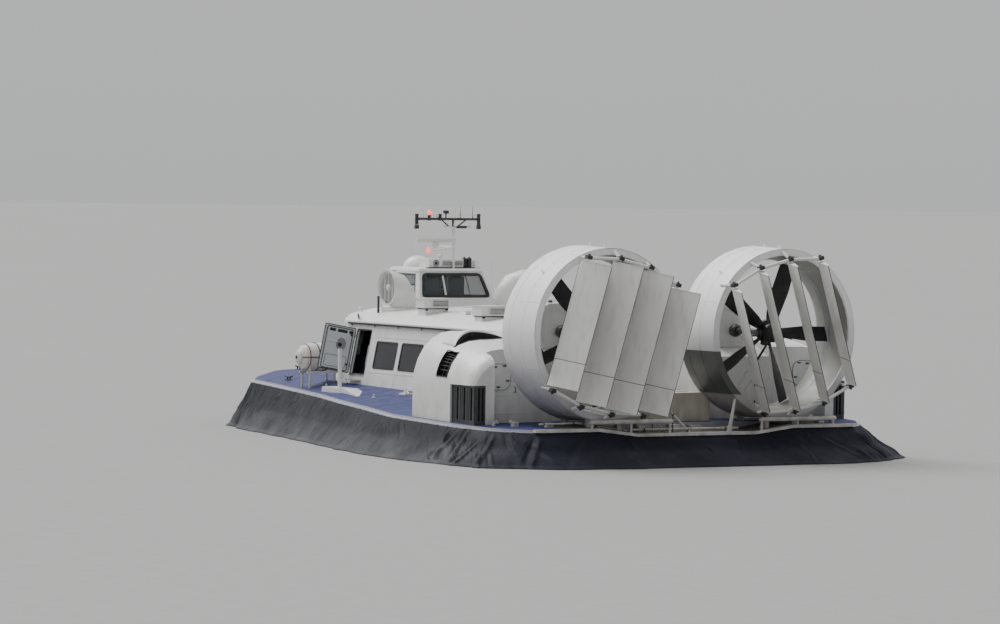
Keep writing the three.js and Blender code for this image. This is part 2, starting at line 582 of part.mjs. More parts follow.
// Pylon: carries the propeller shaft ahead of the duct
const PYLON = [2450, 3700];
const PYLON_HALF = 480;
const PYLON_TOP = 3810;
const pylonOutline = [[DUCT_Y - PYLON_HALF, 2400], [DUCT_Y + PYLON_HALF, 2400], [DUCT_Y + PYLON_HALF, 3480],
  [DUCT_Y + 380, 3710], [DUCT_Y + 200, PYLON_TOP], [DUCT_Y - 200, PYLON_TOP], [DUCT_Y - 380, 3710],
  [DUCT_Y - PYLON_HALF, 3480]];
const BOSS_X = 2350;
const boss = bar([BOSS_X, DUCT_Y, SHAFT_Z], [PYLON[0] + 10, DUCT_Y, SHAFT_Z], 200, 20, 440);
const raisedHousing = HOUSING_PROFILE.map(([x, z]) => [x, z + GAP]);
const raisedCowl = COWL_STATIONS.map(([x, top, start]) => cowlRing([x, top + GAP, start]));
const housingAndGap = alongY(raisedHousing, HOUSING_IN - 500, HOUSING_OUT + 0.2).add(loft(raisedCowl));
addPair('pylon', alongX(pylonOutline, ...PYLON).add(boss).subtract(housingAndGap), WHITE);

// Middle housing between the engines
const middle = alongX([[-1200, BELOW_DECK], [1200, BELOW_DECK], [1200, 1400], [950, 1640], [-950, 1640],
  [-1200, 1400]], 1250, CABIN_AFT - GAP);
add('middle_housing', onDeck(middle), 0xc9c7bd);

// Duct: radius and distance from the exit, round the closed profile
const DUCT_PROFILE = [
  [DUCT_EXIT, 0], [DUCT_OUTER, 0], [DUCT_OUTER + 20, 600], [DUCT_OUTER + 38, 1150],
  [DUCT_OUTER + 50, 1380], [DUCT_OUTER + 30, 1470], [DUCT_OUTER - 30, DUCT_LENGTH],
  [DUCT_OUTER - 100, 1480], [DUCT_THROAT + 80, 1360], [DUCT_THROAT + 20, 1150], [DUCT_THROAT, 900],
  [DUCT_THROAT, 640],
];
const DUCT_SEGMENTS = 48;

function ductRing() {
  const profile = [...DUCT_PROFILE, DUCT_PROFILE[0]].map(([r, x]) => new THREE.Vector2(r, x));
  const ring = new THREE.LatheGeometry(profile, DUCT_SEGMENTS);
  return solid(ring.rotateZ(-Math.PI / 2).translate(0, DUCT_Y, SHAFT_Z));
}

// Rudders: offset of the hinge line from the duct's centre at shaft height, then its lower and
// upper end along the hinge line from shaft height. The first is the outermost.
const RUDDERS = [[1366, -1338, 1936], [456, -1754, 1906], [-459, -1954, 1682], [-1358, -2004, 1243]];
const END_GAP = 45;
const hingeDirection = new THREE.Vector3(0, -Math.sin(RUDDER_LEAN), Math.cos(RUDDER_LEAN));
const hingePoint = (offset, along) => [RUDDER_X, DUCT_Y + offset + hingeDirection.y * along,
  SHAFT_Z + hingeDirection.z * along];

function ductWithBearings() {
  let duct = ductRing();
  const ends = { low: [], high: [] };
  for (const [offset, low, high] of RUDDERS) {
    ends.low.push(hingePoint(offset, low));
    ends.high.push(hingePoint(offset, high));
  }
  for (const points of [ends.low, ends.high]) {
    points.forEach((point, i) => {
      duct = duct.add(ball(point, 62, [1, 1, 1], 8));
      if (i > 0) duct = duct.add(bar(points[i - 1], point, 42));
      const spoke = new THREE.Vector2(point[1] - DUCT_Y, point[2] - SHAFT_Z);
      const outside = spoke.length() > DUCT_OUTER;
      spoke.setLength(outside ? DUCT_OUTER + 20 : DUCT_OUTER - 40);
      duct = duct.add(bar(point, [outside ? 260 : 40, DUCT_Y + spoke.x, SHAFT_Z + spoke.y], 38));
    });
  }
  return duct;
}
// Feet of the duct on the deck
const FEET = [[200, DUCT_Y - 400], [200, DUCT_Y + 400], [1300, DUCT_Y - 400], [1300, DUCT_Y + 400]];
let duct = ductWithBearings();
for (const [x, y] of FEET) {
  duct = duct.add(box([x - 80, x + 80], [y - 60, y + 60], [600, 1130]).subtract(ductBoreCylinder()));
}

function ductBoreCylinder() {
  return bar([-500, DUCT_Y, SHAFT_Z], [2500, DUCT_Y, SHAFT_Z], DUCT_EXIT + 70, DUCT_SEGMENTS);
}
const belowWell = belowDeck.subtract(solid(toGeometry(sternWell).translate(0, 0, GAP)));
addPair('duct', duct.subtract(belowWell), 0xeeeeec);

// Propeller: hub, shaft and five broad twisted blades
// radius, chord, thickness, pitch angle in degrees
const BLADE = [[180, 200, 110, 58], [500, 340, 60, 45], [1100, 420, 40, 31], [PROP_RADIUS, 390, 22, 23]];
const BLADES = 5;
const PORT_PHASE = THREE.MathUtils.degToRad(59.4);
const STARBOARD_PHASE = THREE.MathUtils.degToRad(-1.5);

function blade() {
  return loft(BLADE.map(([radius, chord, thickness, pitch]) => {
    const a = THREE.MathUtils.degToRad(pitch);
    const section = [[-0.5, 0], [-0.2, 0.5], [0.2, 0.4], [0.5, 0], [0.2, -0.3], [-0.2, -0.35]];
    return section.map(([along, across]) => {
      const [u, v] = [along * chord, across * thickness];
      return [u * Math.sin(a) + v * Math.cos(a), u * Math.cos(a) - v * Math.sin(a), radius];
    });
  }));
}

const COUPLING_RADIUS = 165;
const COUPLING_X = BOSS_X - COUPLING_RADIUS - 8;

// Seen from behind, the phase is counted anticlockwise from starboard
function propeller(centreY, phase) {
  let all = bar([PROP_X - 180, 0, 0], [PROP_X + 200, 0, 0], 240, 20, 200)
    .add(ball([PROP_X - 180, 0, 0], 238, [0.8, 1, 1], 16))
    .add(bar([PROP_X, 0, 0], [COUPLING_X, 0, 0], 75, 12))
    .add(ball([COUPLING_X, 0, 0], COUPLING_RADIUS, [1, 1, 1], 16));
  for (let i = 0; i < BLADES; i += 1) {
    const turn = phase + 2 * Math.PI * i / BLADES;
    const one = toGeometry(blade()).rotateX(Math.PI / 2 - turn).translate(PROP_X, 0, 0);
    all = all.add(solid(one));
  }
  return toGeometry(all).translate(0, centreY, SHAFT_Z);
}
add('propeller_port', propeller(DUCT_Y, PORT_PHASE), DARK, 0.5);
add('propeller_starboard', propeller(-DUCT_Y, STARBOARD_PHASE), DARK, 0.5);

// One rudder at its neutral place, in its own frame: hinge line up Z, chord aft along -X
function rudderBlade(low, high) {
  const front = RUDDER_HINGE * RUDDER_CHORD;
  const back = front - RUDDER_CHORD;
  const half = RUDDER_THICKNESS / 2;
  const outline = [[front, 0], [front - 25, 0.6 * half], [front - 100, half], [0, half],
    [back, 9], [back, -9], [0, -half], [front - 100, -half], [front - 25, -0.6 * half]];
  return alongZ(outline, low + 2 * END_GAP, high - 2 * END_GAP)
    .add(bar([0, 0, low + END_GAP + 25], [0, 0, high - END_GAP - 25], 30, 10));
}

// name, side, angle
const RUDDER_SETS = [['port', 1, PORT_RUDDER_ANGLE], ['starboard', -1, STARBOARD_RUDDER_ANGLE]];
RUDDERS.forEach(([offset, low, high], i) => {
  const shape = toGeometry(rudderBlade(low, high));
  for (const [name, side, angle] of RUDDER_SETS) {
    const mesh = add(`rudder_${name}_${i + 1}`, shape.clone(), 0xd9d9d6);
    mesh.rotation.set(side * RUDDER_LEAN, 0, 0);
    mesh.rotateZ(angle);
    mesh.position.set(RUDDER_X, side * (DUCT_Y + offset), SHAFT_Z);
  }
});

// Stern rail: a strake along the edge of the transom, a fat tube above it on each side and a post
const STRAKE = [-90, 50 - GAP];
const STRAKE_ABOVE = 10;
const STRAKE_BELOW = 62;
const RAIL_X = -75;
const strakeEdge = [-4600, -WELL_RIM, -WELL_FLOOR, WELL_FLOOR, WELL_RIM, 4600];
const strakeZ = (y) => DECK_AFT - wellDrop(0, Math.abs(y));
let rail = alongX([...strakeEdge.map((y) => [y, strakeZ(y) - STRAKE_BELOW]),
  ...strakeEdge.map((y) => [y, strakeZ(y) + STRAKE_ABOVE]).reverse()], ...STRAKE);
// tubes: first and last y, height, radius
for (const [y0, y1, z, radius] of [[750, 3080, 1030, 55], [-4040, -1800, 1030, 50]]) {
  rail = rail.add(bar([RAIL_X, y0, z], [RAIL_X, y1, z], radius, 12));
  for (const y of [y0 + 60, (y0 + y1) / 2, y1 - 60]) {
    rail = rail.add(bar([RAIL_X, y, z], [RAIL_X + 20, y, strakeZ(y) - 25], 32, 8));
  }
}
rail = rail.add(bar([RAIL_X + 10, -900, strakeZ(0) - 25], [RAIL_X, -1060, 1540], 55, 8, 30));
add('stern_rail', rail, 0xdcdcd8);

// Doors: a leaning panel outside the wall, hinged at its forward edge
const DOOR_OVERLAP = 50;
const DOOR_THICKNESS = 45;
const PIN_CLEAR = 32;             // hinge pin to the wall
const HINGE = [DOORWAY[1] + DOOR_OVERLAP, wallY(DOORWAY[2]) + PIN_CLEAR * Math.cos(Math.atan(LEAN)),
  DOORWAY[2] + PIN_CLEAR * Math.sin(Math.atan(LEAN))];
function doorPanel() {
  const z0 = -DOOR_OVERLAP + 40;
  const z1 = (DOORWAY[3] - DOORWAY[2]) / Math.cos(Math.atan(LEAN)) + DOOR_OVERLAP - 10;
  const width = DOORWAY[1] - DOORWAY[0] + 2 * DOOR_OVERLAP;
  const half = DOOR_THICKNESS / 2;
  return box([-width, -8], [-half, half], [z0, z1])
    .add(bar([0, 0, z0 + 150], [0, 0, z0 + 250], half - 1, 10))
    .add(bar([0, 0, z1 - 250], [0, 0, z1 - 150], half - 1, 10));
}
const door = toGeometry(doorPanel());
for (const [name, side, angle] of [['door_port', 1, DOOR_OPEN_ANGLE], ['door_starboard', -1, 0]]) {
  const mesh = add(name, side > 0 ? door : mirrored(door), 0xd5d8d8);
  mesh.rotation.set(side * Math.atan(LEAN), 0, 0);
  mesh.rotateZ(angle);
  mesh.position.set(HINGE[0], side * HINGE[1], HINGE[2]);
}

// Inside: benches to each side of the aisle, helm seats and desk
let benches = box([5200, 11300], [1300, 1500], [BELOW_DECK, 1420]);
for (let x = 5400; x < 11200; x += 880) {
  benches = benches.add(alongY([[x, 1400], [x + 480, 1400], [x + 480, 1560], [x + 120, 1560],
    [x + 20, 2180], [x - 80, 2180]], 420, 2480));
}
addPair('passenger_benches', onDeck(benches), 0x34406a, 0.9);
let helm = box([12300, 13900], [-700, 700], [3200, 3560]);
helm = helm.add(box([13450, 13850], [-620, 620], [3550, 3830]));
for (const y of [-380, 380]) {
  helm = helm.add(box([12500, 12900], [y - 230, y + 230], [3560, 3760]))
    .add(box([12420, 12520], [y - 230, y + 230], [3560, 4200]));
}
add('helm', helm.subtract(ROOF_TRIM), 0x3a3d42, 0.8);

// Liferaft canisters on legged cradles, on the foredeck
const RAFT = [13390, 3275, 2050];
// radius and distance from the middle, end to end
const CANISTER = [
  [190, -570], [310, -490], [355, -330], [375, -30], [375, 30], [355, 330], [310, 490], [190, 570],
];
const CANISTER_SEGMENTS = 24;
function canister(extra) {
  return loft(CANISTER.map(([radius, along]) => {
    const ring = [];
    for (let i = 0; i < CANISTER_SEGMENTS; i += 1) {
      const a = 2 * Math.PI * i / CANISTER_SEGMENTS;
      const reach = radius + extra;
      const y = RAFT[1] + along + Math.sign(along) * extra;
      ring.push([RAFT[0] + reach * Math.cos(a), y, RAFT[2] + reach * Math.sin(a)]);
    }
    return ring;
  }));
}
addPair('liferaft', canister(0), 0xdedbd4);
const CRADLE_X = [13170, 13610];
let cradle = box(CRADLE_X, [3240, 3320], [1620, 1670]);
for (const x of CRADLE_X) {
  cradle = cradle.add(box([x - 30, x + 30], [2820, 3720], [1620, 1680]));
  for (const y of [2900, 3640]) {
    cradle = cradle.add(bar([x, y, 1650], [x, y, BELOW_DECK], 34, 8));
    cradle = cradle.add(bar([x, y, 1650], [RAFT[0] + (x - RAFT[0]) * 1.15, y, 1930], 26, 8));
  }
}
addPair('raft_cradle', onDeck(cradle.subtract(canister(2))), 0xd0d0cc);

// Boarding step beside each door: a flat top, a ramp aft of it and a grab post
const STEP = [10900, 12100];
const STEP_WIDTH = 400;
const STEP_TOP = 1330;
// x, inboard edge, top
const RAMP = [[9750, 3700, 1190], [STEP[0] + 1, 3450, STEP_TOP]];
const step = box(STEP, [3450, 3450 + STEP_WIDTH], [BELOW_DECK, STEP_TOP])
  .add(loft(RAMP.map(([x, y, top]) => [[x, y, BELOW_DECK], [x, y + STEP_WIDTH, BELOW_DECK],
    [x, y + STEP_WIDTH, top], [x, y, top]])))
  .add(bar([11500, 3640, 1300], [11500, 3640, 2340], 55, 12));
addPair('boarding_step', onDeck(step), 0xd6dad8);

craft.children.forEach((mesh) => { mesh.position.x -= ORIGIN_X; });
export default craft;
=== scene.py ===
# Looks of the twin-ducted hovercraft: materials, skirt, glass, fittings, camera and light.
# Metres, in the frame of the CAD model: +X to the bow, +Y to port, +Z up from the ground.
# at(x, y, z) takes x forward from the transom, as the sizes below do.
import math
import random

import bmesh
import bpy
import numpy as np
from mathutils import Matrix, Vector


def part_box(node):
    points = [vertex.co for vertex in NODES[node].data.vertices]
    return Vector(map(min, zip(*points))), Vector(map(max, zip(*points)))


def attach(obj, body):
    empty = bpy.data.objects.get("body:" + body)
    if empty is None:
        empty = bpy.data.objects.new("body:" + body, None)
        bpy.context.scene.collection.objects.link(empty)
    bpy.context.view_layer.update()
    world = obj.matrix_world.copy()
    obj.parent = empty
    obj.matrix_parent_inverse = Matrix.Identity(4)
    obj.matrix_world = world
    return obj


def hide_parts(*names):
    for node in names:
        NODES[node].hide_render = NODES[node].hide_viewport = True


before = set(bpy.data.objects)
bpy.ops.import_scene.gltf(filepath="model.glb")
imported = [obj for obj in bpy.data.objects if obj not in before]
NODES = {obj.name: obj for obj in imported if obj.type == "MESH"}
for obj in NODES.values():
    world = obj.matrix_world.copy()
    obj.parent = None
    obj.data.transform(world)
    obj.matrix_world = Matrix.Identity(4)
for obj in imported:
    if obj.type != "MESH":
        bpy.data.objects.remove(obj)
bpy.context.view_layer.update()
HULL_AFT = 0.05                          # the hull starts this far ahead of the transom
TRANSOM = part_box("hull")[0].x - HULL_AFT
SIDES = {"port": 1, "starboard": -1}
FORE, TO_PORT, UP = Vector((1, 0, 0)), Vector((0, 1, 0)), Vector((0, 0, 1))


def at(x, y, z):
    return Vector((TRANSOM + x, y, z))


# Driving sizes, as in the CAD
DECK_AFT, SHEER = 0.87, 0.0239
DUCT_Y, SHAFT_Z = 2.54, 3.12
DUCT_OUTER, DUCT_EXIT, DUCT_THROAT = 2.08, 1.93, 1.81
PROPELLER_X, BLADES = 0.77, 5
BLADE_PHASE = {"port": math.radians(59.4), "starboard": math.radians(-1.5)}
WALL_FOOT, WALL_TOP = (2.95, 1.25), (2.60, 2.97)      # y and z of the cabin's side wall
LEAN = (WALL_FOOT[0] - WALL_TOP[0]) / (WALL_TOP[1] - WALL_FOOT[1])
WALL_TILT = math.atan(LEAN)
RUDDER_LEAN = math.radians(16.8)
RUDDER_X = -0.33
RUDDER_REST = {"port": math.radians(30), "starboard": math.radians(-21)}
# of each rudder: place across from the shaft, lower and upper end along its hinge
RUDDERS = [(1.366, -1.338, 1.936), (0.456, -1.754, 1.906), (-0.459, -1.954, 1.682), (-1.358, -2.004, 1.243)]
RUDDER_FRONT, RUDDER_BACK, RUDDER_HALF = 0.189, -0.671, 0.065
RUDDER_EDGE = 0.009                      # half thickness at its rear edge
COWL_OUT, COWL_ARC = 5.45, 1.05          # lift fan housing: outer wall, width of its curved shoulder
HOUSING_REAR = 1.949                     # its rear wall
INTAKE_X, INTAKE_HALF = 3.15, 0.15
VENT = (2.75, 3.27, 2.02, 2.62)          # opening in its side: x and z
SIDE_WINDOWS = [(10.10, 11.22), (8.75, 9.87), (7.40, 8.52), (6.05, 7.17), (4.90, 5.82)]
WINDOW_Z = (1.84, 2.53)
DOORWAY = (11.64, 12.37, 1.66, 2.79)
DOOR_REST = {"port": math.radians(-115), "starboard": 0.0}
DOOR_OFFSET = 0.032                      # the hinge line stands this far out from the wall
TURNTABLE = (11.85, 1.72, 3.40)
RAFT = (13.39, 3.275, 2.05)
YARD_X = 12.19


def deck_edge(x):
    return DECK_AFT + SHEER * x


def wall_y(z):
    return WALL_FOOT[0] - (z - WALL_FOOT[1]) * LEAN


# Materials
def feed(tree, value, socket):
    """Link another node's output to the socket, or set its constant."""
    if isinstance(value, bpy.types.NodeSocket):
        tree.links.new(value, socket)
    else:
        socket.default_value = value


def add_node(tree, kind, output, inputs, operation=None):
    made = tree.nodes.new(kind)
    if operation:
        made.operation = operation
    for key, value in inputs.items():
        feed(tree, value, made.inputs[key])
    return made.outputs[output]


def blend(tree, share, first, second):
    """The first colour where share is 0, the second where it is 1."""
    made = tree.nodes.new("ShaderNodeMix")
    made.data_type = "RGBA"
    for index, value in ((0, share), (6, first), (7, second)):
        feed(tree, value, made.inputs[index])
    return made.outputs[2]


def map_range(tree, value, low, high, to_low=0.0, to_high=1.0):
    """value from low to high becomes to_low to to_high, and stays there beyond."""
    inputs = {"Value": value, "From Min": low, "From Max": high, "To Min": to_low, "To Max": to_high}
    return add_node(tree, "ShaderNodeMapRange", "Result", inputs)


class Look:
    """A Principled material fed by noise in the object's own space."""

    def __init__(self, name, color, roughness, metallic=0.0):
        self.material = bpy.data.materials.new(name)
        self.material.use_nodes = True
        self.tree = self.material.node_tree
        self.shader = self.tree.nodes["Principled BSDF"].inputs
        self.shader["Metallic"].default_value = metallic
        self.place = self.tree.nodes.new("ShaderNodeTexCoord").outputs["Object"]
        self.color = (*color, 1)
        self.roughness = roughness
        self.normal = None

    def noise(self, scale, stretch=(1, 1, 1), detail=4):
        place = add_node(self.tree, "ShaderNodeMapping", "Vector", {"Vector": self.place, "Scale": stretch})
        inputs = {"Vector": place, "Scale": scale, "Detail": detail, "Roughness": 0.55}
        return add_node(self.tree, "ShaderNodeTexNoise", "Fac", inputs)

    def cells(self, scale):
        return add_node(self.tree, "ShaderNodeTexVoronoi", "Distance", {"Vector": self.place, "Scale": scale})

    def axis(self, name):
        return add_node(self.tree, "ShaderNodeSeparateXYZ", name, {"Vector": self.place})

    def span(self, value, *ends):
        return map_range(self.tree, value, *ends)

    def combine(self, a, b, operation="MULTIPLY"):
        return add_node(self.tree, "ShaderNodeMath", "Value", {0: a, 1: b}, operation)

    def tint(self, share, color):
        self.color = blend(self.tree, share, self.color, (*color, 1))

    def bump(self, height, distance):
        made = self.tree.nodes.new("ShaderNodeBump")
        made.inputs["Strength"].default_value = 1.0
        made.inputs["Distance"].default_value = distance
        feed(self.tree, height, made.inputs["Height"])
        if self.normal is not None:
            feed(self.tree, self.normal, made.inputs["Normal"])
        self.normal = made.outputs["Normal"]

    def mottle(self, color, share, low, high, scale, stretch=(1, 1, 1), detail=4):
        """Patches of a colour, up to that share of it, where noise lies above low to high."""
        self.tint(self.span(self.noise(scale, stretch, detail), low, high, 0, share), color)

    def grain(self, depth, scale, stretch=(1, 1, 1), detail=4):
        self.bump(self.noise(scale, stretch, detail), depth)

    def done(self, scale=2.2, swing=0.12):
        """Uneven gloss of that scale and swing, and everything joined to the shader."""
        base = self.roughness
        gloss = self.span(self.noise(scale), 0.3, 0.7, base - swing, base + swing)
        feed(self.tree, self.color, self.shader["Base Color"])
        feed(self.tree, gloss, self.shader["Roughness"])
        if self.normal is not None:
            feed(self.tree, self.normal, self.shader["Normal"])
        return self.material


def scaled(color, share):
    return tuple(share * c for c in color)


GRIME = (0.27, 0.25, 0.21)


def painted(name, color, roughness=0.34, streaks=0.35, low_dirt=0.45, dirt=GRIME):
    """Marine paint: soft patches, vertical rain streaks, scuffs, and dirt that thickens near the deck."""
    look = Look(name, color, roughness)
    look.mottle(scaled(color, 0.86), 0.35, 0.35, 0.75, 0.55)
    runs = look.span(look.noise(2.6, (1.6, 1.6, 0.1), 5), 0.52, 0.78, 0, streaks)
    look.tint(look.combine(runs, look.span(look.noise(0.9), 0.35, 0.65)), dirt)
    if low_dirt:
        height = look.span(look.axis("Z"), 2.0, 0.95, 0, low_dirt)
        look.tint(look.combine(height, look.span(look.noise(3.4, (1, 1, 0.5), 6), 0.35, 0.7)), dirt)
    look.mottle(scaled(dirt, 0.5), 0.45, 0.70, 0.76, 21, detail=3)
    look.grain(0.006, 1.7, detail=2)
    look.grain(0.0007, 55, detail=3)
    return look.done()


def skirt_rubber():
    """Coated fabric: grey with mud marks forward and low down, and nearly black aft, where shade is painted
    in.
    """
    look = Look("skirt_rubber_look", (0.034, 0.036, 0.042), 0.58)
    look.shader["Specular IOR Level"].default_value = 0.08
    look.mottle((0.016, 0.017, 0.021), 0.5, 0.45, 0.7, 1.6, (2.4, 2.4, 0.25), 6)
    splashes = look.span(look.noise(1.1, detail=7), 0.32, 0.62, 0.1, 0.75)
    look.tint(look.combine(look.span(look.axis("Z"), 0.55, 0.12), splashes), (0.11, 0.112, 0.12))
    # Painted shade: towards the stern the skirt darkens to near black with a blue cast, where it faces away
    # from the light
    place = look.combine(look.axis("X"), look.noise(0.5), "ADD")
    look.tint(look.span(place, -7.2, -9.6, 0, 0.9), (0.016, 0.018, 0.029))
    look.mottle((0.11, 0.105, 0.10), 0.3, 0.66, 0.74, 34, detail=2)
    look.grain(0.012, 9, (1, 1, 0.35), 5)
    look.grain(0.0012, 140, detail=2)
    return look.done(1.3, 0.14)


def deck_paint():
    """Non-slip deck: blue violet forward, worn beige grey across the stern."""
    look = Look("deck_paint_look", (0.038, 0.046, 0.150), 0.65)
    look.shader["Specular IOR Level"].default_value = 0.25
    look.mottle((0.068, 0.076, 0.185), 0.4, 0.4, 0.7, 0.8, detail=6)
    look.mottle((0.13, 0.13, 0.155), 0.45, 0.55, 0.75, 3.2, detail=7)
    place = look.combine(look.axis("X"), look.noise(1.3), "ADD")
    amidships = look.span(look.combine(look.axis("Y"), 0, "ABSOLUTE"), 4.0, 3.5)
    aft = look.combine(look.span(place, TRANSOM + 1.9, TRANSOM + 1.5), amidships)
    look.tint(aft, (0.20, 0.19, 0.165))
    stains = look.span(look.noise(2.3, detail=8), 0.48, 0.66, 0, 0.75)
    look.tint(look.combine(aft, stains), (0.10, 0.09, 0.075))
    look.grain(0.0016, 170, detail=2)
    return look.done(2.0, 0.12)


def duct_outside(side):
    """White duct with a dark grey panel round its lower inboard quarter, and painted shade that darkens it
    lower down.
    """
    look = Look(f"duct_outside_{side}", (0.92, 0.92, 0.915), 0.42)
    look.mottle((0.68, 0.68, 0.68), 0.3, 0.35, 0.75, 0.6)
    look.mottle((0.42, 0.40, 0.36), 0.35, 0.55, 0.8, 3.0, (1.5, 1.5, 0.12), 5)
    # Painted shade: lavender grey darkening from z 3.7 down to 1.15, as under light from above
    patches = look.span(look.noise(1.5, detail=6), 0.2, 0.6, 0.6, 1)
    look.tint(look.combine(look.span(look.axis("Z"), 3.7, 1.15, 0, 0.82), patches), (0.27, 0.265, 0.31))
    middle = SIDES[side] * DUCT_Y
    inboard = look.span(look.axis("Y"), middle, middle - SIDES[side] * 0.001)
    # Painted shade: a beige darkening low down on the inboard side
    look.tint(look.combine(inboard, look.span(look.axis("Z"), 2.3, 1.2, 0, 0.55)), (0.40, 0.37, 0.31))
    low = look.combine(look.span(look.axis("Z"), 2.701, 2.70), look.span(look.axis("Z"), 1.62, 1.66))
    look.tint(look.combine(inboard, low), (0.105, 0.112, 0.108))
    look.grain(0.008, 1.4, detail=2)
    look.grain(0.0006, 60, detail=3)
    return look.done()


def rudder_skin():
    """Satin panels, warm light grey, with faint vertical runs and small knocks."""
    look = Look("rudder_skin_look", (0.77, 0.765, 0.745), 0.45)
    look.mottle((0.64, 0.63, 0.60), 0.4, 0.35, 0.7, 1.1)
    look.mottle((0.38, 0.36, 0.32), 0.4, 0.5, 0.8, 4, (1.6, 1.6, 0.07), 5)
    look.mottle((0.22, 0.2, 0.17), 0.5, 0.71, 0.77, 26, detail=2)
    look.grain(0.007, 1.2, (1, 1, 0.5), 2)
    look.grain(0.0006, 70, detail=2)
    return look.done()


def dark(name, color=(0.022, 0.023, 0.026), roughness=0.5, metallic=0.0, dust=0.25):
    """Dark moulded or painted metal with dust on it."""
    look = Look(name, color, roughness, metallic)
    look.mottle((0.16, 0.155, 0.145), dust, 0.45, 0.75, 4.5, detail=6)
    look.grain(0.0009, 90, detail=3)
    return look.done(5, 0.15)


def glass(name, color, alpha):
    look = Look(name, color, 0.09)
    look.mottle([1.7 * c + 0.01 for c in color], 0.35, 0.4, 0.75, 1.3, (1, 1, 0.4), 5)
    look.grain(0.0015, 0.9, detail=1)
    look.shader["Alpha"].default_value = alpha
    return look.done(3, 0.05)


def cloth(name, color):
    look = Look(name, color, 0.85)
    look.mottle(scaled(color, 0.6), 0.5, 0.4, 0.7, 6, detail=6)
    look.bump(look.cells(220), 0.0015)
    return look.done(8, 0.08)


def metal(name, color):
    look = Look(name, color, 0.35, 0.85)
    look.mottle(scaled(color, 0.55), 0.5, 0.45, 0.7, 7, detail=6)
    look.grain(0.0006, 120, (1, 1, 0.1), 3)
    return look.done(6, 0.15)


def lamp(name, color, strength):
    look = Look(name, color, 0.25)
    look.mottle(scaled(color, 0.7), 0.4, 0.4, 0.7, 40)
    look.shader["Emission Color"].default_value = (*color, 1)
    look.shader["Emission Strength"].default_value = strength
    return look.done(12, 0.08)


WHITE = painted("white_paint_look", (0.75, 0.75, 0.74))
ROOF_WHITE = painted("roof_white_look", (0.83, 0.83, 0.82), 0.4, 0.15, 0)
TRIM_WHITE = painted("trim_white_look", (0.74, 0.74, 0.73), 0.4, 0.3, 0.25)
CREAM = painted("cream_paint_look", (0.58, 0.555, 0.49), 0.5, 0.5, 0.75, (0.16, 0.14, 0.11))
STERN_WHITE = painted("stern_white_look", (0.66, 0.65, 0.61), 0.45, 0.5, 0.55, (0.20, 0.18, 0.15))
GUNWALE = painted("gunwale_look", (0.47, 0.47, 0.54), 0.4, 0.3, 0.35, (0.25, 0.25, 0.28))
TANK = painted("tank_look", (0.20, 0.205, 0.215), 0.6, 0.4, 0.5)
DECK = deck_paint()
DUCT_SKIN = {side: duct_outside(side) for side in SIDES}
RUBBER = skirt_rubber()
RUDDER_SKIN = rudder_skin()
DOOR_SKIN = painted("door_skin_look", (0.56, 0.60, 0.61), 0.38, 0.3, 0.2)
BLACK = dark("black_look")
SEAL = dark("seal_look", (0.016, 0.016, 0.018), 0.7, dust=0.15)
SLATS = dark("slat_look", (0.045, 0.047, 0.05), 0.55)
# near-black painted shade for the walls inside the intake and the vent
HOLLOW_SHADE = dark("hollow_shade_look", (0.006, 0.006, 0.007), 0.8, dust=0.1)
BLADE = dark("blade_look", (0.012, 0.012, 0.014), 0.38, dust=0.12)
GRILLE = dark("grille_look", (0.25, 0.26, 0.265), 0.5, 0.3, 0.5)
INSIDE_RING = painted("duct_inside_look", (0.30, 0.295, 0.265), 0.5, 0.5, 0.3)
DARK_GLASS = glass("dark_glass_look", (0.030, 0.030, 0.034), 0.80)
CLEAR_GLASS = glass("clear_glass_look", (0.10, 0.12, 0.13), 0.28)
SEAT = cloth("seat_look", (0.035, 0.045, 0.11))
STEEL = metal("steel_look", (0.52, 0.52, 0.53))
SHELL = painted("raft_shell_look", (0.70, 0.69, 0.65), 0.36, 0.35, 0.1)
MAROON = painted("maroon_look", (0.20, 0.018, 0.03), 0.4, 0.2, 0)
RED_LAMP = lamp("red_lamp_look", (1.0, 0.10, 0.12), 2.2)
GREEN_SCREEN = lamp("green_screen_look", (0.45, 0.85, 0.68), 1.3)

# Slot of a piece by its look, unless it names one; lamps have none, all others have white_paint
SLOTS = {
    "dark_glass_look": "tinted_glass", "seal_look": "skirt_rubber", "skirt_rubber_look": "skirt_rubber",
    "black_look": "cabin_dark", "slat_look": "dark_grille", "grille_look": "dark_grille",
    "steel_look": "skid_metal", "raft_shell_look": "raft_shell", "maroon_look": "raft_shell",
    "red_lamp_look": None, "green_screen_look": None,
}


# Points
def turns(count):
    """Angles that go evenly round a circle."""
    return [2 * math.pi * k / count for k in range(count)]


def circle(centre, radius, across, up, count):
    return [centre + radius * (math.cos(a) * across + math.sin(a) * up) for a in turns(count)]


def oblong(place, u0, u1, v0, v1):
    """Four corners, where place(u, v) gives a point."""
    return [place(u, v) for u, v in ((u0, v0), (u1, v0), (u1, v1), (u0, v1))]


def facing_aft(x, *edges):
    """Corners of an upright oblong across the craft: y from and to, z from and to."""
    return oblong(lambda y, z: at(x, y, z), *edges)


def level(x, y, z, half_x, half_y):
    """Corners of a level oblong round its middle."""
    return oblong(lambda u, v: at(u, v, z), x - half_x, x + half_x, y - half_y, y + half_y)


def mirrored(points, sign):
    return [Vector((p.x, sign * p.y, p.z)) for p in points]


def rounded(outline, radius, steps=5):
    """The outline with each corner replaced by an arc of about that radius."""
    result = []
    for i, corner in enumerate(outline):
        to_last = outline[i - 1] - corner
        to_next = outline[(i + 1) % len(outline)] - corner
        reach = min(radius, 0.45 * to_last.length, 0.45 * to_next.length)
        a = corner + reach * to_last.normalized()
        b = corner + reach * to_next.normalized()
        for k in range(steps + 1):
            t = k / steps
            result.append(a * (1 - t) ** 2 + corner * 2 * t * (1 - t) + b * t ** 2)
    return result


# Small shapes, collected into one mesh for each piece
def shapes(count):
    return [Shape() for _ in range(count)]


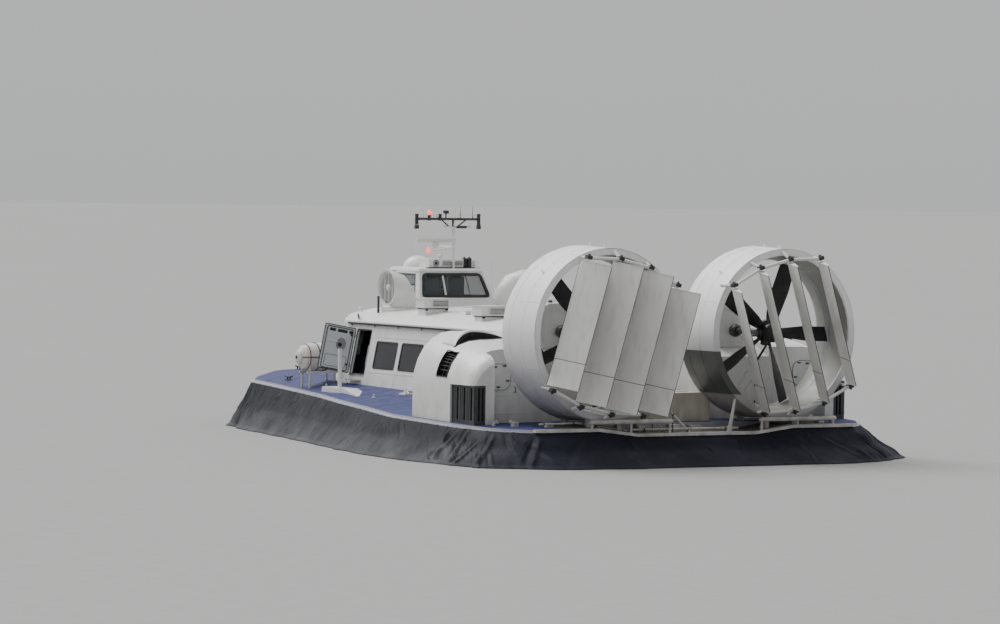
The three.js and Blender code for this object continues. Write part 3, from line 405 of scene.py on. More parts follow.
class Shape:
    def __init__(self):
        self.points = []
        self.faces = []

    def grid(self, rows, caps=True):
        """A skin over rows of points that all have the same count, closed round each row."""
        start, n = len(self.points), len(rows[0])
        self.points += [p for row in rows for p in row]
        for r in range(start, start + (len(rows) - 1) * n, n):
            for i in range(n):
                j = (i + 1) % n
                self.faces.append((r + i, r + j, r + n + j, r + n + i))
        if caps:
            self.faces.append(tuple(reversed(range(start, start + n))))
            self.faces.append(tuple(range(len(self.points) - n, len(self.points))))

    def block(self, centre, size, turn=Matrix.Identity(3)):
        x, y, z = Vector(size) / 2
        corners = [(-x, -y), (x, -y), (x, y), (-x, y)]
        self.grid([[centre + turn @ Vector((a, b, c)) for a, b in corners] for c in (-z, z)])

    def bar(self, start, end, radius, sides=8):
        self.tube([start, end], radius, sides)

    def tube(self, path, radius, sides=6, closed=False):
        rows = []
        last = len(path) - 1
        for i, point in enumerate(path):
            before = path[i - 1] if i or closed else point
            after = path[(i + 1) % len(path)] if i < last or closed else point
            along = (after - before).normalized()
            across = along.cross(Vector((0.31, 0.17, 0.93))).normalized()
            rows.append(circle(point, radius, across, along.cross(across), sides))
        if closed:
            rows.append(rows[0])
        self.grid(rows, caps=not closed)

    def handle(self, start, end, rise, inset, radius, sides=6):
        """A bent rod from start to end, whose middle stands off by the vector rise."""
        along = inset * (end - start).normalized()
        self.tube([start, start + rise + along, end + rise - along, end], radius, sides)

    def lathe(self, profile, origin, axis, sides=12):
        """profile is (radius, distance along the axis) pairs, from end to end."""
        axis = Vector(axis).normalized()
        across = axis.orthogonal().normalized()
        self.grid([circle(origin + d * axis, r, across, axis.cross(across), sides) for r, d in profile])

    def ball(self, centre, radii, sides=20):
        rows = []
        steps = sides // 2
        for k in range(steps + 1):
            a = -math.pi / 2 + (math.pi - 1e-3) * k / steps
            rows.append([centre + Vector((radii[0] * math.cos(a) * math.cos(b),
                                          radii[1] * math.cos(a) * math.sin(b),
                                          radii[2] * math.sin(a))) for b in turns(sides)])
        self.grid(rows)

    def plate(self, outline, depth):
        """A flat outline of points, thickened by the vector depth."""
        self.grid([outline, [p + depth for p in outline]])

    def frame(self, outline, width, depth):
        """A band along a closed flat outline, width inward, thickened by the vector depth."""
        centre = sum(outline, Vector()) / len(outline)
        inner = []
        for i, point in enumerate(outline):
            edge = (outline[(i + 1) % len(outline)] - outline[i - 1]).normalized()
            inward = depth.normalized().cross(edge)
            inner.append(point + width * (-inward if inward.dot(centre - point) < 0 else inward))
        self.grid([outline, [p + depth for p in outline], [p + depth for p in inner], inner, outline],
                  caps=False)

    def done(self, name, material, body="root", slot="usual", bevel=0.0, smooth=40):
        """One piece of the scene, which rides on a body; the slot, its look's usual one or another, is looked
        up but not given to it.
        """
        mesh = bpy.data.meshes.new(name)
        mesh.from_pydata([tuple(p) for p in self.points], [], self.faces)
        mesh.validate()
        obj = bpy.data.objects.new(name, mesh)
        bpy.context.scene.collection.objects.link(obj)
        mesh.materials.append(material)
        tidy_normals(mesh)
        mesh.shade_smooth()
        mesh.set_sharp_from_angle(angle=math.radians(smooth))
        if bevel:
            round_edges(obj, bevel)
        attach(obj, body)
        if slot == "usual":
            slot = SLOTS.get(material.name, "white_paint")
        return obj


def tidy_normals(mesh):
    bm = bmesh.new()
    bm.from_mesh(mesh)
    bmesh.ops.remove_doubles(bm, verts=bm.verts, dist=1e-5)
    bmesh.ops.recalc_face_normals(bm, faces=bm.faces)
    bm.to_mesh(mesh)
    bm.free()


def round_edges(obj, width):
    made = obj.modifiers.new("round_edges", "BEVEL")
    made.width = width
    made.segments = 2
    made.limit_method = "ANGLE"
    made.angle_limit = math.radians(35)
    made.use_clamp_overlap = True
    made.harden_normals = True


# CAD nodes: smooth shading, rounded edges and materials
def dress(node, *materials, bevel=0.0, choose=None, smooth=32):
    """choose(centre, normal) gives the index of a face's material."""
    obj = NODES[node]
    mesh = obj.data
    for name in ("custom_normal", "sharp_edge"):
        if name in mesh.attributes:
            mesh.attributes.remove(mesh.attributes[name])
    mesh.materials.clear()
    for material in materials:
        mesh.materials.append(material)
    if choose:
        for face in mesh.polygons:
            face.material_index = choose(face.center, face.normal)
    mesh.shade_smooth()
    obj.modifiers.new("weld", "WELD").merge_threshold = 0.0002
    if bevel:
        round_edges(obj, bevel)
    else:
        obj.modifiers.new("sharp_edges", "EDGE_SPLIT").split_angle = math.radians(smooth)


def duct_face(side):
    """0 off the ring, 1 on its outside and edges, 2 inside."""
    def choose(centre, normal):
        spoke = Vector((0, centre.y - SIDES[side] * DUCT_Y, centre.z - SHAFT_Z))
        on_ring = centre.x > TRANSOM - 0.01 and spoke.length > 1.80
        outward = normal.dot(spoke) > 0 or centre.x > TRANSOM + 1.36 or normal.x < -0.9
        return 0 if not on_ring else (1 if outward else 2)
    return choose


def cowl_heights(x):
    """Upper and lower end of the lift fan housing's curved shoulder."""
    return 2.83 + 0.16 * (x - 2.5), 1.80 - 0.02 * (x - 2.5)


def cowl_skin(x, y):
    """Height of the housing's curved skin, and the angle there round its shoulder."""
    top, start = cowl_heights(x)
    a = math.acos(min(1, max(0, 1 - (COWL_OUT - abs(y)) / COWL_ARC)))
    return start + (top - start) * math.sin(a), a


def cowl_face(centre, normal):
    """1 inside the intake and the vent, whose walls wear near-black painted shade."""
    x = centre.x - TRANSOM
    height, _ = cowl_skin(x, centre.y)
    sunk = centre.z < height - 0.02 and abs(centre.y) < COWL_OUT - 0.01
    intake = abs(x - INTAKE_X) < INTAKE_HALF + 0.012 and centre.z > 2.5
    vent = VENT[0] - 0.01 < x < VENT[1] + 0.01 and VENT[2] - 0.01 < centre.z < VENT[3] + 0.01
    return 1 if sunk and (intake or vent) else 0


def mast_face(centre, normal):
    """1 on the dark yard."""
    return 1 if 5.56 < centre.z < 6.0 else 0


def bottle_face(centre, normal):
    """1 on the two black air bottles beside the wheelhouse's air conditioner."""
    x = centre.x - TRANSOM
    return 1 if -0.745 < centre.y < -0.442 and 12.215 < x < 12.37 and centre.z > 4.44 else 0


def hull_face(centre, normal):
    """0 on the deck, 1 on the rim round it, 2 below."""
    if normal.z > 0.5:
        return 0
    return 1 if centre.z > deck_edge(centre.x - TRANSOM) - 0.2 and -0.3 < normal.z < 0.5 else 2


# Looks of the plain nodes and the width of their rounded edges: single ones, then those of each side
LOOKS = {
    "cabin_front": (WHITE, 0), "cabin_rear": (WHITE, 0), "wheelhouse_shell": (WHITE, 0),
    "cabin_roof": (ROOF_WHITE, 0.012), "windscreen": (DARK_GLASS, 0), "wheelhouse_glazing": (CLEAR_GLASS, 0),
    "radar_scanner": (TRIM_WHITE, 0.03), "middle_housing": (CREAM, 0.02), "helm": (BLACK, 0.02),
}
SIDE_LOOKS = {
    "cabin_side": (WHITE, 0), "cabin_glazing": (DARK_GLASS, 0), "intake_louvre": (SLATS, 0),
    "engine_housing": (WHITE, 0), "engine_block": (BLACK, 0.03), "pylon": (WHITE, 0.02),
    "propeller": (BLADE, 0), "landing_skid": (STEEL, 0.02), "door": (DOOR_SKIN, 0.006),
    "passenger_benches": (SEAT, 0.03), "liferaft": (SHELL, 0), "raft_cradle": (STERN_WHITE, 0.006),
    "boarding_step": (TRIM_WHITE, 0.01),
}


def paint_nodes():
    for node, (look, bevel) in LOOKS.items():
        dress(node, look, bevel=bevel)
    dress("hull", DECK, GUNWALE, TANK, choose=hull_face)
    dress("wheelhouse_roof", ROOF_WHITE, BLACK, bevel=0.012, choose=bottle_face)
    dress("mast", TRIM_WHITE, BLACK, choose=mast_face)
    dress("stern_rail", STERN_WHITE, smooth=50)
    for side in SIDES:
        for node, (look, bevel) in SIDE_LOOKS.items():
            dress(f"{node}_{side}", look, bevel=bevel)
        dress(f"bow_thruster_{side}", WHITE, smooth=45)
        dress(f"lift_fan_housing_{side}", WHITE, HOLLOW_SHADE, choose=cowl_face)
        dress(f"duct_{side}", TRIM_WHITE, DUCT_SKIN[side], INSIDE_RING, choose=duct_face(side))
        for i in range(1, len(RUDDERS) + 1):
            dress(f"rudder_{side}_{i}", RUDDER_SKIN)


paint_nodes()

# Skirt: deck edge x and y, foot x and y, how far out its middle stands, as in the CAD
SKIRT_STATIONS = [
    (0.05, 0, -1.56, 0, 0.40), (0.05, 1.70, -1.56, 1.75, 0.40), (0.05, 2.80, -1.56, 2.88, 0.40),
    (0.05, 3.70, -1.46, 3.80, 0.40), (0.05, 4.60, -1.22, 4.64, 0.42), (0.35, 5.00, -0.83, 5.30, 0.45),
    (0.90, 5.33, 0.00, 6.20, 0.45), (2.25, 5.52, 2.20, 6.40, 0.42), (5.20, 5.52, 5.30, 6.40, 0.40),
    (7.50, 4.99, 7.75, 5.90, 0.40), (9.60, 4.58, 9.85, 5.47, 0.40), (11.55, 4.10, 11.85, 5.00, 0.40),
    (13.10, 3.83, 13.45, 4.75, 0.40), (15.20, 3.50, 15.50, 4.38, 0.40), (17.13, 3.25, 17.60, 3.82, 0.42),
    (18.28, 2.54, 18.95, 2.98, 0.45), (19.61, 1.21, 20.40, 1.60, 0.45), (20.25, 0.31, 21.10, 0.65, 0.45),
    (20.40, 0.00, 21.24, 0.00, 0.45),
]
WELL_DEPTH, WELL_FLOOR, WELL_RIM = 0.14, 1.70, 2.80
SKIRT_STEP = 0.022
SKIRT_ROWS = 40
HEM_ROWS = 5
SKIRT_SEAM_X = 5.2                       # where the aft sheet meets the fore sheet
SKIRT_SEEDS = {"port": 11, "starboard": 47}


def skirt_plan():
    """Columns along the deck edge: distance, edge x, y and z, way out, reach and the middle's share."""
    table = np.array(SKIRT_STATIONS)
    run = np.concatenate([[0], np.cumsum(np.hypot(np.diff(table[:, 2]), np.diff(table[:, 3])))])
    along = np.linspace(0, run[-1], int(run[-1] / SKIRT_STEP))
    top_x, top_y, foot_x, foot_y, share = (np.interp(along, run, column) for column in table.T)
    well = np.clip((WELL_RIM - top_y) / (WELL_RIM - WELL_FLOOR), 0, 1) * WELL_DEPTH
    edge = deck_edge(top_x) - np.where(top_x < 0.1, well, 0)
    reach = np.hypot(foot_x - top_x, foot_y - top_y)
    return along, top_x, top_y, edge, (foot_x - top_x) / reach, (foot_y - top_y) / reach, reach, share


def smooth_noise(along, spacing, seed):
    """A smooth random line between -1 and 1, with about one swing per spacing, as a column."""
    rng = np.random.default_rng(seed)
    knots = rng.uniform(-1, 1, int(along[-1] / spacing) + 4)
    place = along / spacing
    i = place.astype(int)
    f = place - i
    f = f * f * (3 - 2 * f)
    return (knots[i] * (1 - f) + knots[i + 1] * f)[:, None]


# Slanting creases: how many, their size, half width, slant per drop and reach down the curtain
CREASES = [
    (60, (0.020, 0.045), (0.050, 0.110), (0.2, 1.0), (0.35, 0.9)),
    (120, (0.008, 0.020), (0.018, 0.045), (0.1, 1.6), (0.15, 0.6)),
]
# Large folds round the stern corner: place along the curtain, top, slant, size, width, reach
CORNER_FOLDS = [
    (6.3, 0.05, 0.5, 0.050, 0.10, 0.95), (6.9, 0.25, 1.1, 0.060, 0.09, 0.90),
    (7.7, -0.05, 0.2, 0.075, 0.12, 1.10), (8.2, 0.30, -1.2, 0.055, 0.08, 0.80),
    (8.8, 0.0, -0.3, 0.060, 0.10, 1.00), (9.5, 0.35, -1.5, 0.050, 0.09, 0.75),
    (10.2, 0.0, -0.8, 0.045, 0.09, 0.85), (11.3, 0.10, -1.2, 0.040, 0.10, 0.80),
    (12.6, 0.05, -0.9, 0.040, 0.09, 0.85), (14.1, 0.0, -0.7, 0.035, 0.09, 0.90),
    (17.6, 0.0, -0.6, 0.040, 0.09, 0.90), (20.5, 0.0, -0.5, 0.040, 0.10, 0.90),
    (23.0, 0.05, -0.6, 0.045, 0.10, 0.90), (3.4, 0.2, 1.2, 0.045, 0.10, 0.80),
    (4.6, 0.1, 0.9, 0.060, 0.10, 0.90),
]


def fold_depths(along, drop, x, seed):
    """How far each point stands out from the smooth curtain: pleats, creases, sags and a loose toe."""
    rng = random.Random(seed)
    s, t = along[:, None], drop[None, :]

    def wander(spacing, number):
        return smooth_noise(along, spacing, seed + number)

    def fold(start, top, slant, bend, size, width, reach, gap):
        down = t - top
        off = (s - start - slant * down - bend * down * down) / width
        window = np.clip(down / 0.2, 0, 1) * np.clip((reach - down) / 0.3, 0, 1)
        return size * window * (np.exp(-off ** 2) - 0.7 * np.exp(-(off - gap) ** 2))

    aft = np.clip((1.6 - x) / 1.5, 0, 1)[:, None]
    fore = np.clip((x - 15.5) / 2.5, 0, 1)[:, None]
    body = np.sin(np.pi * np.clip(t, 0, 1)) ** 0.7
    patch = np.clip(0.5 + 0.9 * wander(1.9, 7), 0, 1)
    phase = 7.0 * wander(1.3, 1) + 1.6 * wander(0.5, 8)
    pleats = np.sin(2 * np.pi * (s + 0.35 * t) / 0.17 + phase)
    depth = (0.007 + 0.009 * fore) * patch * pleats * body * (0.4 + 0.6 * t)
    depth += 0.040 * fore * np.sin(2 * np.pi * s / 0.75 + phase) * body
    strength = 0.55 + 0.45 * wander(0.8, 2)
    depth += 0.034 * wander(1.5, 3) * body * strength
    for count, sizes, widths, slants, reaches in CREASES:
        for _ in range(count):
            start, top = rng.uniform(0, along[-1]), rng.uniform(-0.1, 0.6)
            slant = rng.choice((-1, -1, -1, 1)) * rng.uniform(*slants)
            bend = rng.uniform(-0.6, 0.6)
            size, width, reach = rng.uniform(*sizes), rng.uniform(*widths), rng.uniform(*reaches)
            depth += fold(start, top, slant, bend, size, width, reach, 1.8)
    for start, top, slant, size, width, reach in CORNER_FOLDS:
        depth += fold(start, top, slant, 0, size, width, reach, 1.6)
    sag = 1.5 * wander(1.8, 4) + 0.7 * wander(0.7, 9)
    depth += (0.006 + 0.040 * aft) * np.sin(2 * np.pi * (1.7 * t) + sag) * body * strength
    toe = 0.06 * wander(0.7, 5) + 0.02 * wander(0.19, 6)
    depth += toe * np.clip((t - 0.62) / 0.38, 0, 1)
    return depth * np.clip(t / 0.06, 0, 1)


def skirt_half(side, sign):
    along, top_x, top_y, edge, out_x, out_y, reach, share = skirt_plan()
    drop = np.linspace(0, 1, SKIRT_ROWS)
    knots = [0, 0.5, 0.88, 1]
    first, middle = 0.075, 0.06
    stand = np.array([np.interp(drop, knots, (first, s * r + middle, 0.86 * r, r))
                      for s, r in zip(share, reach)])
    height = np.array([np.interp(drop, knots, (e - 0.055, 0.45 * e, 0.075, 0.012)) for e in edge])
    depth = fold_depths(along, drop, top_x, SKIRT_SEEDS[side])
    stand += depth - 0.03 * np.sin(np.pi * drop) ** 2 * np.cos(np.pi * drop)
    height += 0.25 * depth * np.sin(np.pi * drop)
    for k in range(1, HEM_ROWS + 1):
        turn = k / HEM_ROWS
        stand = np.column_stack([stand, stand[:, SKIRT_ROWS - 1] - 0.02 - 0.20 * turn])
        height = np.column_stack([height, np.full(len(along), 0.004 + 0.05 * turn * turn)])
    x = TRANSOM + top_x[:, None] + out_x[:, None] * stand
    y = sign * (top_y[:, None] + out_y[:, None] * stand)
    y[0], y[-1] = 0, 0
    points = np.stack([x, y, np.maximum(height, 0.003)], axis=-1)
    seam = int(np.searchsorted(top_x, SKIRT_SEAM_X))
    whole = {"aft": ("skirt_stern",), "fore": ("skirt_bow",)}
    for end, part in (("aft", points[:seam + 1]), ("fore", points[seam:])):
        shape = Shape()
        shape.points = part.reshape(-1, 3).tolist()
        rows = SKIRT_ROWS + HEM_ROWS
        corners = [i * rows + j for i in range(len(part) - 1) for j in range(rows - 1)]
        shape.faces = [(a, a + 1, a + rows + 1, a + rows) for a in corners]
        obj = shape.done(f"skirt_sheet_{side}_{end}", RUBBER, smooth=180)
        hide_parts(f"skirt_{side}_{end}", *(whole[end] if sign > 0 else ()))


for side, sign in SIDES.items():
    skirt_half(side, sign)


# Cabin: panes, seals, wipers, gutter, door step and wall joints
def on_wall(side, x, z, out=0.0):
    """A point of the cabin's side wall, or out from it."""
    return at(x, SIDES[side] * (wall_y(z) + out * math.cos(WALL_TILT)), z + out * math.sin(WALL_TILT))


def wall_oblong(side, x0, x1, z0, z1, grow=0.0, out=0.0):
    return oblong(lambda x, z: on_wall(side, x, z, out), x0 - grow, x1 + grow, z0 - grow, z1 + grow)


# plan of the cabin's front at its base and at the gutter
FRONT_PLAN = [
    ((12.96, 2.95), (12.96, 2.60)), ((14.08, 2.45), (13.85, 2.13)),
    ((15.00, 1.33), (14.56, 1.18)), ((15.14, 0), (14.68, 0)),
]
# facet, then share and height of each corner of a pane
FRONT_PANES = [
    (0, ((0.14, 2.05), (0.75, 2.05), (0.80, 2.72), (0.16, 2.72))),
    (1, ((0.24, 2.05), (0.93, 2.05), (0.86, 2.72), (0.10, 2.72))),
    (2, ((0.26, 2.05), (0.94, 2.05), (0.93, 2.72), (0.20, 2.72))),
]
WALL_JOINTS = (4.86, 5.94, 7.28, 8.63, 9.98, 11.34)


def on_front(facet, share, z, out=0.0):
    """A point of the cabin's front: facets 0 to 2 from the side wall inboard, share along the facet."""
    up = (z - WALL_FOOT[1]) / (WALL_TOP[1] - WALL_FOOT[1])
    start, end = [Vector(base).lerp(Vector(top), up) for base, top in FRONT_PLAN[facet:facet + 2]]
    away = (end - start).orthogonal().normalized()
    if away.x < 0:
        away = -away
    return at(*(start.lerp(end, share) + out * away), z)


def window_trim(side, out):
    """Panes, seals and wipers; the vector out is one metre out from the wall."""
    panes, seals = shapes(2)
    for x0, x1 in SIDE_WINDOWS:
        panes.plate(rounded(wall_oblong(side, x0, x1, *WINDOW_Z, -0.004, -0.016), 0.07), 0.012 * out)
        seals.frame(rounded(wall_oblong(side, x0, x1, *WINDOW_Z, 0.018, -0.002), 0.085), 0.045, 0.010 * out)
    panes.done(f"window_panes_{side}", DARK_GLASS)
    seals.frame(rounded(wall_oblong(side, *DOORWAY, 0.04, -0.002), 0.07), 0.04, 0.008 * out)
    for facet, corners in FRONT_PANES:
        pane = rounded([on_front(facet, share, z, 0.002) for share, z in corners], 0.06)
        foot, tip = on_front(facet, 0.5, 2.06, 0.03), on_front(facet, 0.68, 2.52, 0.035)
        seals.tube(mirrored(pane, SIDES[side]), 0.019, closed=True)
        seals.tube(mirrored([foot, foot.lerp(tip, 0.5), tip], SIDES[side]), 0.009)
        seals.tube(mirrored([tip - 0.24 * UP, tip + 0.14 * UP], SIDES[side]), 0.012)
    seals.done(f"window_seals_{side}", SEAL)


def cabin_trim(side):
    sign = SIDES[side]
    out = on_wall(side, 0, 0, 1) - on_wall(side, 0, 0)
    window_trim(side, out)
    gutter, step, joints = shapes(3)
    gutter.block(at(8.68, sign * 2.641, 2.958), (8.40, 0.072, 0.018))
    gutter.block(at(8.68, sign * 2.672, 2.972), (8.40, 0.012, 0.040))
    for i in range(7):
        x = 5.2 + 1.25 * i
        gutter.bar(at(x, sign * 2.645, 2.95), at(x, sign * 2.645, 2.90), 0.014)
    gutter.done(f"gutter_{side}", SEAL)
    step.plate(wall_oblong(side, 11.60, 12.41, 1.60, 1.64, 0, 0.001), 0.012 * out)
    step.block(at(11.99, sign * (wall_y(1.58) + 0.11), 1.50), (0.55, 0.20, 0.02))
    for x in (11.75, 12.23):
        foot = at(x, sign * (wall_y(1.3) + 0.01), 1.30)
        step.bar(at(x, sign * (wall_y(1.58) + 0.19), 1.49), foot, 0.012)
    for x in (11.53, 12.57):
        step.bar(on_wall(side, x, 1.9, 0.06), on_wall(side, x, 2.4, 0.06), 0.012)
    step.done(f"door_step_{side}", STEEL, bevel=0.003)
    for z in (1.72, 2.64):
        joints.plate(wall_oblong(side, 4.55, 11.5, z, z + 0.03), 0.006 * out)
    for x in WALL_JOINTS:
        joints.plate(wall_oblong(side, x, x + 0.025, 1.30, 1.71), 0.005 * out)
    joints.done(f"wall_joints_{side}", TRIM_WHITE, bevel=0.002)


def hinged(hinge, lean, rest):
    """The frame of a moving part: its hinge leans about X, and it rests turned about the hinge."""
    return Matrix.Translation(hinge) @ Matrix.Rotation(lean, 4, "X") @ Matrix.Rotation(rest, 4, "Z")


def door_trim(side):
    sign = SIDES[side]
    place = hinged(on_wall(side, 12.42, DOORWAY[2], DOOR_OFFSET), sign * WALL_TILT, DOOR_REST[side])

    def spot(back, up, out):
        return place @ Vector((-back, -sign * out, up))

    def panel(u0, u1, z0, z1, out, radius):
        return rounded(oblong(lambda u, z: spot(u, z, out), u0, u1, z0, z1), radius)

    body = f"door_{side}"
    inward = spot(0, 0, 1) - spot(0, 0, 0)
    seals, plates, handles = shapes(3)
    seals.frame(panel(0.062, 0.77, 0.015, 1.14, 0.0215, 0.07), 0.022, 0.012 * inward)
    seals.frame(panel(0.0, 0.834, -0.014, 1.19, -0.0235, 0.05), 0.024, 0.047 * inward)
    for u0, u1 in ((0.53, 0.69), (0.22, 0.48), (0.07, 0.17)):
        seals.plate(panel(u0, u1, 1.01, 1.09, -0.0245, 0.02), 0.049 * inward)
    seals.lathe([(0.05, 0), (0.055, 0.012), (0.03, 0.03)], spot(0.36, 0.68, 0.034), inward, 16)
    for z in (0.2, 0.98):
        seals.lathe([(0.026, 0), (0.026, 0.012), (0.012, 0.02)], spot(0.10, z, 0.0215), inward, 10)
    seals.done(f"door_seal_{side}", SEAL, body)
    oval = [spot(0.33 + 0.13 * math.cos(a), 0.70 + 0.17 * math.sin(a), 0.0215) for a in turns(28)]
    plates.plate(oval, 0.014 * inward)
    plates.frame(panel(0.12, 0.70, 0.08, 0.40, 0.0215, 0.05), 0.02, 0.005 * inward)
    plates.done(f"door_plate_{side}", GRILLE, body, "rail_tube", bevel=0.003)
    for out, reach in ((0.05, (0.43, 0.70)), (-0.05, (0.45, 0.68))):
        handles.bar(spot(reach[0], 0.75, out), spot(reach[1], 0.77, out), 0.013)
        for u in reach:
            handles.bar(spot(u, 0.755, out * 0.42), spot(u, 0.755, out), 0.011)
    handles.done(f"door_handle_{side}", TRIM_WHITE, body)


# Raft canister: (radius, distance from its middle) from one end to the middle
RAFT_PROFILE = [(0.190, 0.570), (0.310, 0.490), (0.355, 0.330), (0.375, 0.030)]
RAFT_HEAD = [(0.192, -0.004), (0.186, 0.03), (0.14, 0.065), (0.07, 0.085), (0.01, 0.09)]


def raft_trim(side):
    out = SIDES[side] * TO_PORT
    middle = at(RAFT[0], SIDES[side] * RAFT[1], RAFT[2])
    seams, straps, ends = shapes(3)
    fore = RAFT_PROFILE + [(r, -d) for r, d in reversed(RAFT_PROFILE)]
    outline = fore + [(-r, d) for r, d in reversed(fore)]
    seams.tube([middle + r * FORE + d * out for r, d in outline], 0.017, closed=True)
    radii, places = zip(*reversed(RAFT_PROFILE))
    for d in (-0.40, -0.14, 0.14, 0.40):
        radius = float(np.interp(abs(d), places, radii)) + 0.004
        ring = circle(middle + d * out, radius, FORE, UP, 40)
        (straps if abs(d) < 0.2 else seams).tube(ring, 0.013, closed=True)
    for d in (-0.14, 0.14):
        straps.block(middle - 0.386 * FORE + d * out + 0.03 * UP, (0.03, 0.06, 0.10))
    for way in (-out, out):
        head = middle + 0.57 * way
        ends.lathe(RAFT_HEAD, head, way, 28)
        straps.lathe([(0.045, 0.08), (0.045, 0.10), (0.02, 0.11)], head, way)
    seams.done(f"raft_seams_{side}", MAROON)
    straps.done(f"raft_straps_{side}", SEAL)
    ends.done(f"raft_ends_{side}", SHELL)


for side in SIDES:
    cabin_trim(side)
    door_trim(side)
    raft_trim(side)


# Wheelhouse: seals, mullions, wipers, screens and seats
HOUSE_FOOT, HOUSE_HEIGHT = 3.30, 1.06
REAR_PANE = ((-1.05, 3.66), (1.05, 3.66), (0.90, 4.30), (-0.90, 4.30))
REAR_MULLION = ((0.29, 3.68), (0.33, 3.68), (0.30, 4.28), (0.26, 4.28))
SIDE_PANE = ((12.03, 3.69), (12.9, 3.69), (13.78, 3.69), (13.70, 4.27), (13.2, 4.27), (12.27, 4.27))
SIDE_MULLION = ((12.96, 3.69), (13.06, 4.27))
FRONT_PANE = (
    (-0.76, 3.70), (-0.45, 3.70), (0.45, 3.70), (0.76, 3.70),
    (0.69, 4.27), (0.42, 4.27), (-0.42, 4.27), (-0.69, 4.27),
)


def house_up(z):
    """Share of the wheelhouse's height."""
    return (z - HOUSE_FOOT) / HOUSE_HEIGHT


def house_side(x, z):
    """Half width of the wheelhouse at x and z, ahead of its rear corner."""
    up = house_up(z)
    wide, narrow, fore = 1.215 - 0.25 * up, 0.88 - 0.08 * up, 14.15 - 0.30 * up
    fold = 12.75 + 0.50 * up
    return wide if x < fold else wide + (narrow - wide) * (x - fold) / (fore - fold)


def house_front(y, z):
    """A point of the wheelhouse's front, which folds back towards its sides."""
    up = house_up(z)
    flat, edge = 0.49 - 0.08 * up, 0.88 - 0.08 * up
    back = 0.45 * max(0, abs(y) - flat) / (edge - flat)
    return at(14.603 - 0.30 * up - back, y, z)


def wheelhouse_trim():
    seals, mullions, screens, fittings = shapes(4)
    lean = Vector((-1.06, 0, 0.50)).normalized()

    def on_rear(corners, out):
        return [at(11.60 + 0.50 * house_up(z), y, z) + out * lean for y, z in corners]

    seals.frame(rounded(on_rear(REAR_PANE, -0.004), 0.14), 0.075, 0.022 * lean)
    mullions.plate(on_rear(REAR_MULLION, -0.03), 0.045 * lean)
    for sign in SIDES.values():
        seals.tube([at(x, sign * (house_side(x, z) + 0.002), z) for x, z in SIDE_PANE], 0.02, closed=True)
        mullions.tube([at(x, sign * house_side(x, z), z) for x, z in SIDE_MULLION], 0.022)
    seals.tube([house_front(y, z) for y, z in FRONT_PANE], 0.02, closed=True)
    for y in (-0.35, 0.35):
        seals.tube([at(14.53, y, 3.72), at(14.46, y + 0.08, 3.95), at(14.42, y + 0.14, 4.12)], 0.009)
    seals.done("wheelhouse_seals", SEAL)
    mullions.done("wheelhouse_mullions", TRIM_WHITE, bevel=0.003)
    screens.block(at(13.42, -0.13, 3.90), (0.02, 0.20, 0.13))
    screens.block(at(13.42, 0.35, 3.89), (0.02, 0.16, 0.10))
    screens.done("helm_screens", GREEN_SCREEN, bevel=0.004)
    for y, width in ((-0.13, 0.25), (0.35, 0.21)):
        fittings.block(at(13.45, y, 3.90), (0.03, width, 0.18))
        fittings.bar(at(13.47, y, 3.83), at(13.46, y, 3.88), 0.02)
    for y in (-0.38, 0.38):
        fittings.ball(at(12.47, y, 4.24), (0.06, 0.17, 0.13))
        for arm in (y - 0.27, y + 0.27):
            fittings.block(at(12.72, arm, 3.92), (0.30, 0.06, 0.05))
    fittings.done("helm_fittings", BLACK, bevel=0.008)


# Air conditioners on the cabin roof: the middle of each rear face
AIR_CONDITIONERS = [(6.37, 2.0, 3.48), (6.37, -2.0, 3.48), (9.47, 1.9, 3.58), (9.47, -1.9, 3.58)]


